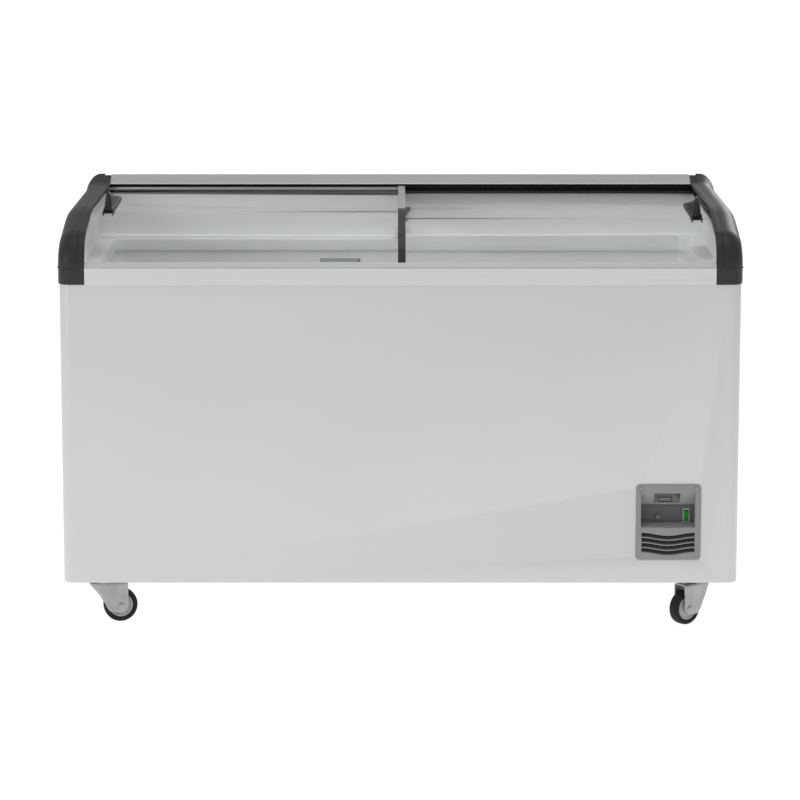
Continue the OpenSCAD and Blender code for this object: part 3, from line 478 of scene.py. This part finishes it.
def inward(points):
    """For each point of a line, the way in and how far a corner's mitre carries it."""
    ways = []
    for (y0, z0), (y1, z1) in zip(points, points[1:]):
        length = math.hypot(y1 - y0, z1 - z0)
        ways.append(Vector(((z1 - z0) / length, -(y1 - y0) / length)))
    result = [ways[0]]
    for a, b in zip(ways, ways[1:]):
        result.append((a + b) / (1 + a.dot(b)))
    return result + [ways[-1]]


def add_arch(bm, section, points, closed=True, round_at=None):
    """Carries a section of (x, depth) points along the arch."""
    ways = inward(points)
    rings = []
    for i, ((y, z), way) in enumerate(zip(points, ways)):
        ring = []
        for x, o in section if round_at is None else round_at(i, section):
            ring.append(bm.verts.new(place(x, y + way.x * o, z + way.y * o)))
        rings.append(ring)
    for a, b in zip(rings, rings[1:]):
        join_loops(bm, a, b, closed)
    if closed:
        bm.faces.new(rings[0])
        bm.faces.new(list(reversed(rings[-1])))
    return rings


def rounded_section(x0, x1, o0, o1, r, n=3):
    return round_rect(x0, o0, x1, o1, r, n)


# ---------------------------------------------------------------- cabinet

refined("outer_shell", 0.5)
refined("rear_panel", 0.4)
refined("base_pan", 0.6)
refined("inner_liner", 1.2, 3)
refined("collar", 2.0, 3)
refined("front_track", 0.4)
refined("rear_track", 0.4)

# Front rail: upright band, fine seam, sloped lip and the sill under the tracks
bm = bmesh.new()
add_prism(bm, [
    (0.5, SHELL_H), (0, SHELL_H + 0.8), (0, BULL_Z - 1.2), (0.3, BULL_Z - 0.6), (1.6, BULL_Z - 0.3),
    (1.6, BULL_Z + 0.1), (0.5, BULL_Z + 0.5), (0.7, BULL_Z + 1.4), (7.2, BULL_Z + 11.0), (8.0, BULL_Z + 11.5),
    (10.4, BULL_Z + 11.5), (11, BULL_Z + 11.0), (11, BULL_Z + 8.4), (9.6, BULL_Z + 8), (2.5, BULL_Z - 1.4),
    (2.5, BULL_Z - 21), (44, BULL_Z - 21), (44, BULL_Z + 3), (45.5, BULL_Z + 3), (45.5, BULL_Z - 23.5),
    (2.5, BULL_Z - 23.5), (2.5, SHELL_H)], -RAIL_X, RAIL_X, side)
new_piece("front_rail_profile", bm, "front_rail", sharp=20)

# Rear rail: sloped top facet with rolled edges, and the upright rear face
bm = bmesh.new()
add_prism(bm, [
    (REAR_LIP + 0.4, LID_TOP - 3.4), (REAR_LIP, LID_TOP - 2.6), (REAR_LIP + 0.6, LID_TOP - 1.8),
    (DEPTH - 5, REAR_TOP - 0.6), (DEPTH - 3, REAR_TOP), (DEPTH - 1.4, REAR_TOP - 0.3),
    (DEPTH - 0.3, REAR_TOP - 1.2),
    (DEPTH, REAR_TOP - 2.6), (DEPTH, SHELL_H), (DEPTH - 2.5, SHELL_H), (DEPTH - 2.5, REAR_TOP - 3.6),
    (REAR_LIP + 2.4, LID_TOP - 4.4)], -RAIL_X, RAIL_X, side)
new_piece("rear_rail_profile", bm, "rear_rail", sharp=20)

# Upstand along the top of the collar's rear wall, in front of the track
bm = bmesh.new()
add_prism(bm, [(696.2, 741), (696.2, 770), (697, 771), (699.2, 771), (699.7, 770), (699.7, 741)], -701, 701,
          side)
new_piece("collar_upstand", bm, "collar", sharp=30)

# ---------------------------------------------------------------- end caps

CAP_EDGE = 34
CAP_CORNER = 27
CAP_SKIN = 3


def cap_line():
    points = arch_points(CAP_Z + 0.3, REAR_LIP - 3)
    return points + [(REAR_LIP + 1.5, LID_TOP + 0.6), (DEPTH, REAR_TOP + 1), (DEPTH, CAP_Z + 0.3)]


def end_cap(sign, node):
    """Moulded skin over the arch: shelf under the strip, crease, rounded outer edge and side wall."""
    points = cap_line()

    def edge_radius(i):
        y, z = points[i]
        if i <= 1:
            return CAP_CORNER
        if z < BULL_Z + BULL_R and y < BULL_R * 2:
            t = min(1.0, max(0.0, (z - BULL_Z) / (BULL_R * 0.9)))
            return CAP_CORNER + (CAP_EDGE - CAP_CORNER) * t * t * (3 - 2 * t)
        return CAP_EDGE

    def section(i, _):
        r = edge_radius(i)
        flat = [(RAIL_X, 8), (RAIL_X, 2.6), (RAIL_X + 0.4, 2.2), (RAIL_X + STRIP_W - 0.3, 2.2),
                (RAIL_X + STRIP_W, 1.9), (RAIL_X + STRIP_W, 0.35), (RAIL_X + STRIP_W + 0.35, 0.0)]
        turn = [(HALF_W - r + r * math.sin(a), r * (1 - math.cos(a)))
                for a in (math.radians(90 * k / 10) for k in range(11))]
        return [(sign * x, o) for x, o in flat + turn]

    bm = bmesh.new()
    rings = add_arch(bm, [], points, closed=False, round_at=section)
    # Side wall: closes the rounded edge's last column down to the bottom edge
    wall = [ring[-1] for ring in rings]
    bm.faces.new(wall)
    piece = new_piece(node + "_skin", bm, node, sharp=28)
    thick = piece.modifiers.new("skin", "SOLIDIFY")
    thick.thickness = CAP_SKIN * MM
    thick.offset = -1
    wall_face = max(piece.data.polygons, key=lambda face: face.area)
    if wall_face.normal.x * sign < 0:
        piece.data.flip_normals()


end_cap(1, "right_end_cap")
end_cap(-1, "left_end_cap")

bm = bmesh.new()
for s in (1, -1):
    xs = sorted((s * (RAIL_X + 0.2), s * (RAIL_X + STRIP_W - 0.3)))
    line = arch_points(CAP_Z + 0.3, REAR_LIP + 1)
    add_arch(bm, rounded_section(xs[0], xs[1], 0.15, 2.0, 0.35), line)
new_piece("trim_strip_pair", bm, "trim_strips", sharp=28)


def moulding_path():
    """Seen from above: from the front rail's end, round the corners to the rear rail's end."""
    path = [(RAIL_X, 0.0)]
    for r, cy, start in ((CAP_CORNER + 1, CAP_CORNER + 1, -90), (4, DEPTH - 4, 0)):
        for i in range(13):
            a = math.radians(start + 90 * i / 12)
            path.append((HALF_W - r + r * math.cos(a), cy + r * math.sin(a)))
    return path + [(RAIL_X, float(DEPTH))]


bm = bmesh.new()
for s in (1, -1):
    path = moulding_path()
    ways = [Vector((-w.x, -w.y)) for w in inward(path)]
    section = [(REVEAL, SHELL_H), (1.4, SHELL_H + 0.1), (0.5, SHELL_H + 0.7), (0.1, SHELL_H + 1.6),
               (0, SHELL_H + 3), (0, CAP_Z - 0.6), (0.5, CAP_Z), (REVEAL, CAP_Z)]
    rings = []
    for (x, y), way in zip(path, ways):
        rings.append(add_loop(bm, [place(s * (x + way.x * o), y + way.y * o, z) for o, z in section]))
    for a, b in zip(rings, rings[1:]):
        join_loops(bm, a, b)
    bm.faces.new(rings[0])
    bm.faces.new(list(reversed(rings[-1])))
new_piece("side_moulding_pair", bm, "side_mouldings", sharp=28)

# ---------------------------------------------------------------- lids

LID_EDGE = RAIL_X + 9
BAR_L, BAR_R = -5, 10.8
GLASS_FOOT = BULL_Z - 11
GLASS_BACK = DEPTH - 25


def lid(side_name, o, x0, x1, bar0, bar1, outer):
    """One sliding lid: pane, rear bar, centre bar, outer edge trim and the glide along its foot, and on the
    upper lid a dark strip on the centre bar's curve that paints the bar's dark reflection.
    """
    name = side_name + "_"
    bm = bmesh.new()
    add_arch(bm, rounded_section(x0, x1, o, o + GLASS_T, 1.2), arch_points(GLASS_FOOT, GLASS_BACK))
    new_piece(name + "pane", bm, name + "glass", sharp=40)

    bm = bmesh.new()
    lo, hi = min(x0, bar0, outer), max(x1, bar1, outer)
    z = LID_TOP - o - GLASS_T
    add_prism(bm, [(DEPTH - 48, z - 1.8), (DEPTH - 16, z - 1.8), (DEPTH - 16, z + GLASS_T + 1.8),
                   (DEPTH - 48, z + GLASS_T + 1.8)], lo, hi, side, 0.6)
    rise = 5.5 if o == UPPER_O else 2
    add_arch(bm, rounded_section(bar0, bar1, o - rise, o + GLASS_T + 2, 0.9),
             arch_points(BULL_Z + 11.5 if o == UPPER_O else BULL_Z + 2, DEPTH - 47))
    edge = sorted((outer, outer - math.copysign(4, outer)))
    add_arch(bm, rounded_section(edge[0], edge[1], o - 1.2, o + GLASS_T + 1.2, 0.6),
             arch_points(BULL_Z - 1, DEPTH - 47))
    new_piece(name + "edging", bm, name + "frame", sharp=40)

    bm = bmesh.new()
    add_prism(bm, [(o - 0.9, GLASS_FOOT - 5), (o + GLASS_T + 0.9, GLASS_FOOT - 5),
                   (o + GLASS_T + 0.9, GLASS_FOOT + 8),
                   (o + GLASS_T, GLASS_FOOT + 8), (o + GLASS_T, GLASS_FOOT), (o, GLASS_FOOT),
                   (o, GLASS_FOOT + 8), (o - 0.9, GLASS_FOOT + 8)], lo, hi, side)
    # Upper lid: a dark strip over the centre bar's outer face, along the curve only, is a painted reflection
    # of the dark the bar reflects there
    if o == UPPER_O:
        curve = [p for p in arch_points(BULL_Z + 11.5, DEPTH - 47) if p[0] < BEND_Y]
        add_arch(bm, rounded_section(bar0 - 0.2, bar1 + 0.4, o - rise - 0.5, o - rise + 1.5, 0.5), curve)
    new_piece(name + "glide", bm, name + "runner", sharp=30)


lid("left", UPPER_O, -LID_EDGE + 1, BAR_R - 2.5, BAR_L, BAR_R, -LID_EDGE)
lid("right", LOWER_O, BAR_L + 3.5, LID_EDGE - 1, BAR_L + 1, BAR_R - 1, LID_EDGE)


def handle(node, o, cx):
    """Grip: flared foot, a fin that is tall at its front end, and the clamp under the glass."""
    box_lo, box_hi = (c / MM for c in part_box(node))
    y0 = box_lo.y + DEPTH / 2
    length = box_hi.y - box_lo.y
    half = (box_hi.x - box_lo.x) / 2
    top = LID_TOP - o
    bm = bmesh.new()
    # Stations from the front to the rear: place along the handle, fin height
    stations = [(0.0, 2.5), (2, 6), (6, 22), (10, 34), (14, 39.5), (19, 41.5), (25, 41), (60, 33), (110, 24),
                (160, 16.5), (205, 10), (232, 6), (242, 4.2), (length, 2.5)]
    rings = []
    for y, h in stations:
        foot = half if 3 < y < length - 4 else half - 1.5
        rise = min(1.0, h / 34)
        thick = min(foot - 3, 4.5 + 6 * rise)
        waist = max(2.2, thick * (1 - 0.22 * rise))
        ridge = max(1.6, thick * (1 - 0.5 * rise))
        rings.append(add_loop(bm, [place(cx + x, y0 + y, top + z) for x, z in (
            (-foot, 0), (foot, 0), (foot, 1.6), (foot - 1.2, 2.4), (thick + 2.5, 3.2 if h > 4 else 2.5),
            (thick, max(2.5, min(h, 7))), (waist, max(2.5, h * 0.62)), (ridge, max(2.5, h * 0.88)), (1.6, h),
            (-1.6, h),
            (-ridge, max(2.5, h * 0.88)), (-waist, max(2.5, h * 0.62)), (-thick, max(2.5, min(h, 7))),
            (-thick - 2.5, 3.2 if h > 4 else 2.5),
            (-foot + 1.2, 2.4), (-foot, 1.6))]))
    for a, b in zip(rings, rings[1:]):
        join_loops(bm, a, b)
    bm.faces.new(rings[0])
    bm.faces.new(list(reversed(rings[-1])))
    z = top - GLASS_T
    clamp = [(-half, z), (half, z), (half, z - 8), (half - 2.5, z - 8), (half - 2.5, z - 3),
             (-half + 2.5, z - 3), (-half + 2.5, z - 8), (-half, z - 8)]
    add_prism(bm, [(cx + x, zz) for x, zz in clamp], y0, y0 + length, front, 0.5)
    new_piece(node + "_grip", bm, node, sharp=35)


handle("left_handle", UPPER_O, -648.5)
handle("right_handle", LOWER_O, 658.5)

# ---------------------------------------------------------------- small parts and hidden works

for node, width in (
        ("housing_screws", 0.15), ("temperature_display", 0.4), ("thermostat_knob", 0.4),
        ("switch_housing", 0.4), ("switch_rocker", 0.4), ("probe_cover", 1.5), ("lid_stop", 0.8),
        ("divider_clips", 0.6), ("rear_grille", 0.5), ("cord_inlet", 0.6), ("drain_plug", 0.8),
        ("caster_plates", 0.6), ("caster_bolts", 0.4), ("compressor", 1.0), ("compressor_mounts", 1.0),
        ("fan_shroud", 0.4), ("fan_motor", 0.8), ("fan_blades", 0.4), ("filter_drier", 0.5)):
    refined(node, width)

# ---------------------------------------------------------------- control panel

PANEL_LOW, PANEL_HIGH = (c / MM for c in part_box("control_panel"))
PANEL_X = (PANEL_LOW.x + PANEL_HIGH.x) / 2
PANEL_Z0, PANEL_Z1 = PANEL_LOW.z - UNDERSIDE, PANEL_HIGH.z - UNDERSIDE
PANEL_FACE = PANEL_LOW.y + DEPTH / 2
HALF_PANEL = (PANEL_HIGH.x - PANEL_LOW.x) / 2
HOUSING_BACK = PANEL_HIGH.y + DEPTH / 2
RECESS_X0, RECESS_X1 = PANEL_X - 60, PANEL_X + 58.5
RECESS_BACK = HOUSING_BACK - 2
SCREW_X = 59
SCREW_Z = PANEL_Z1 - 10.45
SEAT_R = 5.4
SLOT_HALF = 58
SLOT_TOP = 105.3
SLOT_PITCH = 11.3
SLOT_H = 9.4
SLOT_DIP = 6.6


def wave(x):
    """Height of a slot's edge above its lowest point, which is at the panel's middle."""
    return SLOT_DIP * (1 - math.cos(math.pi * (x - PANEL_X) / SLOT_HALF)) / 2


def slot_columns(x0, x1, count):
    return [x0 + (x1 - x0) * i / count for i in range(count + 1)]


def add_blade(bm, z):
    """Slanted blade behind a slot: its front edge is the slot's lower edge, and it rises to the rear."""
    face = PANEL_FACE + 0.5
    section = [(face, 0), (face + 0.3, 0.9), (face + 1.0, 1.5), (15, 11.4), (15, 9.9), (face + 1.4, 0)]
    rings = [add_loop(bm, [place(x, y, z + up + wave(x)) for y, up in section])
             for x in slot_columns(PANEL_X - SLOT_HALF - 1, PANEL_X + SLOT_HALF + 1, 40)]
    for a, b in zip(rings, rings[1:]):
        join_loops(bm, a, b)
    bm.faces.new(rings[0])
    bm.faces.new(list(reversed(rings[-1])))


# Face plate with its rolled rim, and the housing behind it
bm = bmesh.new()
add_prism(bm, round_rect(PANEL_X - HALF_PANEL, PANEL_Z0, PANEL_X + HALF_PANEL, PANEL_Z1, 9, 8),
          PANEL_FACE, REVEAL + 0.3, front, 1.3, 3)
add_prism(bm, round_rect(PANEL_X - 66, PANEL_Z0 + 6, PANEL_X + 66, PANEL_Z1 - 6, 4), REVEAL - 0.4,
          HOUSING_BACK, front)

# Recess with its sloped upper face, the display's pocket, the slots and the screws' seats
cutter = bmesh.new()
add_prism(cutter, [(-2, 123.3), (2.4, 123.3), (2.8, 124.6), (RECESS_BACK, 131.5), (RECESS_BACK, 166.4),
                   (RECESS_BACK - 1.2, 168.2), (RECESS_BACK - 4.4, 171.6), (PANEL_FACE, 204), (-2, 204)],
          RECESS_X0, RECESS_X1, side)
cutter_2 = bmesh.new()
POCKET_LOW, POCKET_HIGH = (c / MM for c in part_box("temperature_display"))
add_prism(cutter_2, [(POCKET_LOW.x - 0.5, 175.5), (POCKET_HIGH.x - 1.5, 175.5), (POCKET_HIGH.x + 0.5, 199),
                     (POCKET_LOW.x + 0.5, 199)], 4, HOUSING_BACK + 4, front)
add_prism(cutter_2, [(PANEL_X - 6.5, 122.2), (PANEL_X + 7, 122.2), (PANEL_X + 5, 125.6),
                     (PANEL_X - 3, 126.2)],
          -2, 5, front)
for s in (1, -1):
    add_prism(cutter_2, round_rect(PANEL_X + s * SCREW_X - SEAT_R, SCREW_Z - SEAT_R,
                                   PANEL_X + s * SCREW_X + SEAT_R,
                                   SCREW_Z + SEAT_R, SEAT_R - 0.01, 6), -2, 1.5, front)
add_prism(cutter_2, rect(PANEL_X - SLOT_HALF - 4, PANEL_Z0 + 9, PANEL_X + SLOT_HALF + 4, 117), 6,
          HOUSING_BACK + 4, front)
slots = bmesh.new()
for i in range(4):
    z = SLOT_TOP - i * SLOT_PITCH
    columns = slot_columns(PANEL_X - SLOT_HALF, PANEL_X + SLOT_HALF, 40)
    add_prism(slots, [(x, z - SLOT_H + wave(x)) for x in columns]
              + [(x, z + wave(x)) for x in reversed(columns)],
              -2, 12, front)
bm = carve(carve(carve(bm, cutter), cutter_2), slots)
for i in range(4):
    add_blade(bm, SLOT_TOP - i * SLOT_PITCH - SLOT_H - 0.6)
add_prism(bm, rect(PANEL_X - 1.3, SLOT_TOP - 3 * SLOT_PITCH - SLOT_H, PANEL_X - 0.3, SLOT_TOP + 2), 3.4, 14,
          front)
new_piece("control_panel_housing", bm, "control_panel", sharp=25)

# Dark frame round the display's window, and the window in it
for name, inset, face, slot in (("frame", 0.0, 22.5, "rubber_black"), ("window", 1.7, 22.2, None)):
    bm = bmesh.new()
    add_prism(bm, round_rect(PANEL_X - 21.6 + inset, 176.9 + inset, PANEL_X + 8.8 - inset, 187.5 - inset,
                             2.6 - inset * 0.6), face, 24.6, front)
    new_piece("display_" + name, bm, "temperature_display", sharp=30, slot=slot)

# ---------------------------------------------------------------- casters

JOINTS = {j["name"]: j for j in frame["record"]["behaviour"]["joints"]}
LEG_Y = 17.4
NOSE_TOP = 33
CROWN_Z = 91
FORK_TAIL = 51
TYRE_HALF = 12
FORK_EDGE = [(-34, 88), (-24, 78), (-14, 65), (-6, 53), (-1, 44), (3, 35), (8, 27.5), (13, 24), (20, 23.2),
             (30, 22.6), (38, 23.4), (44, 27), (49, 33), (51, 40)]


def fork_edge(x):
    """Height of the stamped fork's lower edge at x."""
    for (x0, z0), (x1, z1) in zip(FORK_EDGE, FORK_EDGE[1:]):
        if x <= x1:
            return z0 + (z1 - z0) * (max(x, x0) - x0) / (x1 - x0)
    return FORK_EDGE[-1][1]


def fork_place(x, turn, z):
    """A place on the fork: its legs are flat, and its nose reaches further forward towards the crown."""
    if x is not None:
        return x, turn * LEG_Y, z
    t = min(1.0, max(0.0, (z - 44) / (CROWN_Z - 46)))
    reach = LEG_Y + (NOSE_TOP - LEG_Y) * t
    return reach * math.cos(turn), LEG_Y * math.sin(turn) * (1 + 0.25 * t * abs(math.cos(turn))), z


def fork_columns():
    """Along the fork in plan: one leg, round the nose, the other leg; as (x, turn), turn None on a leg."""
    legs = [FORK_TAIL * (1 - i / 16) for i in range(16)]
    nose = [math.radians(90 + 180 * i / 24) for i in range(25)]
    return [(x, 1) for x in legs] + [(None, a) for a in nose] + [(x, -1) for x in reversed(legs)]


def add_fork_sheet(bm):
    rows = 14
    columns = []
    for x, turn in fork_columns():
        foot = fork_edge(x if x is not None else LEG_Y * math.cos(turn))
        for _ in range(4):
            foot = fork_edge(fork_place(x, turn, foot)[0])
        shoulder = CROWN_Z - 3
        column = [bm.verts.new(fork_place(x, turn, shoulder + (foot - shoulder) * k / rows))
                  for k in range(rows + 1)]
        # The shoulder rolls over into the crown
        for lift, draw in ((2.1, 0.9), (3.0, 3.0)):
            px, py, pz = fork_place(x, turn, shoulder)
            length = math.hypot(px if x is None else 0, py)
            pull = 1 - draw / length
            column.insert(0, bm.verts.new((px * pull if x is None else px, py * pull, pz + lift)))
        columns.append(column)
    for a, b in zip(columns, columns[1:]):
        join_loops(bm, a, b, closed=False)
    # Crown between the two shoulders
    last = len(columns) - 1
    for i in range(last // 2):
        corners = [columns[i][0], columns[i + 1][0], columns[last - i - 1][0], columns[last - i][0]]
        bm.faces.new(list(dict.fromkeys(corners)))


def turned(bm, profile, at, steps=48, closed=False):
    """A turned part, lying across the fork, with its middle at (x, z)."""
    part = bmesh.new()
    add_lathe(part, profile, steps, closed)
    part.transform(Matrix.Translation((at[0], 0, at[1])) @ Matrix.Rotation(math.radians(90), 4, "X"))
    mesh = bpy.data.meshes.new("part")
    part.to_mesh(mesh)
    part.free()
    bm.from_mesh(mesh)
    bpy.data.meshes.remove(mesh)


def mirrored(half):
    """A profile (radius, height) closed by its own mirror image below."""
    return half + [(r, -h) for r, h in reversed(half)]


for corner in ("front_left", "front_right", "rear_left", "rear_right"):
    pivot = Vector(JOINTS[corner + "_swivel_turn"]["pos_m"])
    axle = Vector(JOINTS[corner + "_wheel_spin"]["pos_m"])
    heading = math.atan2(axle.y - pivot.y, axle.x - pivot.x)
    trail = math.hypot(axle.x - pivot.x, axle.y - pivot.y) / MM
    wheel_r = axle.z / MM
    to_row = (Matrix.Translation((pivot.x, pivot.y, 0)) @ Matrix.Rotation(heading, 4, "Z")
              @ Matrix.Scale(MM, 4))

    bm = bmesh.new()
    add_fork_sheet(bm)
    bmesh.ops.recalc_face_normals(bm, faces=bm.faces)
    bmesh.ops.solidify(bm, geom=bm.faces, thickness=2.4)
    turned(bm, mirrored([(0, 20.6), (3.6, 20.4), (6.2, 19.2), (6.8, 17.8), (4.9, 17.4), (4.9, 0.1)]),
           (trail, wheel_r))
    bm.transform(to_row)
    new_piece(corner + "_stamped_fork", bm, corner + "_fork", sharp=30)

    bm = bmesh.new()
    turned(bm, mirrored([(5.1, 14), (9.2, 14), (10, 13.4), (10, 9.6), (11, 8.8), (20.6, 8.2), (22.4, 9.4),
                         (23.6, 10.6), (25.6, 10.6), (26.3, 9.9)]), (trail, wheel_r), 72, closed=True)
    bm.transform(to_row)
    new_piece(corner + "_hub", bm, corner + "_wheel", sharp=30)

    bm = bmesh.new()
    turned(bm, mirrored([(26.3, 10.2), (27, 11.2), (29.4, 11.6), (32.6, TYRE_HALF), (35, 11.5), (36.6, 9.9),
                         (37.3, 7.2), (wheel_r, 3.6)]), (trail, wheel_r), 96, closed=True)
    bm.transform(to_row)
    new_piece(corner + "_rubber", bm, corner + "_tyre", sharp=35)

replaced = {n for o in bpy.data.objects for n in o.get("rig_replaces", [])}
for node, obj in NODES.items():
    if node not in replaced:
        obj.data.materials.clear()
        obj.data.materials.append(MATS[SLOT_OF[node]])

# ---------------------------------------------------------------- floor, light and camera

FLOOR_GLOW = 0.93
ROOM_LIGHT = 0.46
BACKDROP = 1.05
TOP_WATTS, LEFT_WATTS, REAR_WATTS = 17, 26, 40
LENS = 153.9
CAMERA_AT = (-0.0008, -7.6715, 1.7912)
CAMERA_PITCH = 80.051
bm = bmesh.new()
bmesh.ops.create_grid(bm, x_segments=8, y_segments=8, size=60)
floor_mesh = bpy.data.meshes.new("floor")
bm.to_mesh(floor_mesh)
bm.free()
floor_paint = material("floor_paint", (0.30, 0.30, 0.30), 0.9, vary=0.004, grain=0.05, specular=0.0)
floor_paint.node_tree.nodes["Principled BSDF"].inputs["Emission Color"].default_value = (1, 1, 1, 1)
floor_paint.node_tree.nodes["Principled BSDF"].inputs["Emission Strength"].default_value = FLOOR_GLOW
floor_mesh.materials.append(floor_paint)
floor = bpy.data.objects.new("floor", floor_mesh)
bpy.context.scene.collection.objects.link(floor)

world = bpy.data.worlds.new("studio")
world.use_nodes = True
bpy.context.scene.world = world
nodes, links = world.node_tree.nodes, world.node_tree.links
path = nodes.new("ShaderNodeLightPath")
level = nodes.new("ShaderNodeMapRange")
level.inputs["To Min"].default_value = ROOM_LIGHT
level.inputs["To Max"].default_value = BACKDROP
links.new(path.outputs["Is Camera Ray"], level.inputs["Value"])
background = nodes["Background"]
background.inputs["Color"].default_value = (1, 1, 1, 1)
links.new(level.outputs["Result"], background.inputs["Strength"])


def soft_light(name, at, aim, size, watts):
    data = bpy.data.lights.new(name, "AREA")
    data.shape = "RECTANGLE"
    data.size, data.size_y = size
    data.energy = watts
    lamp = bpy.data.objects.new(name, data)
    lamp.location = at
    lamp.rotation_euler = (Vector(aim) - Vector(at)).to_track_quat("-Z", "Y").to_euler()
    bpy.context.scene.collection.objects.link(lamp)
    return lamp


soft_light("top_light", (0.1, -0.5, 3.8), (0.1, 0, 0.8), (2.4, 1.8), TOP_WATTS)
soft_light("left_light", (-3.6, -3.2, 2.2), (0, 0, 0.6), (1.6, 1.6), LEFT_WATTS)
soft_light("rear_light", (2.6, 5.0, 2.6), (0.7, 0, 0.9), (1.8, 1.4), REAR_WATTS)

camera_data = bpy.data.cameras.new("camera")
camera_data.sensor_width = 36
camera_data.lens = LENS
camera_data.clip_end = 300
camera = bpy.data.objects.new("camera", camera_data)
camera.location = CAMERA_AT
camera.rotation_euler = (math.radians(CAMERA_PITCH), 0, 0)
bpy.context.scene.collection.objects.link(camera)
bpy.context.scene.camera = camera
bpy.context.scene.view_settings.view_transform = "Standard"
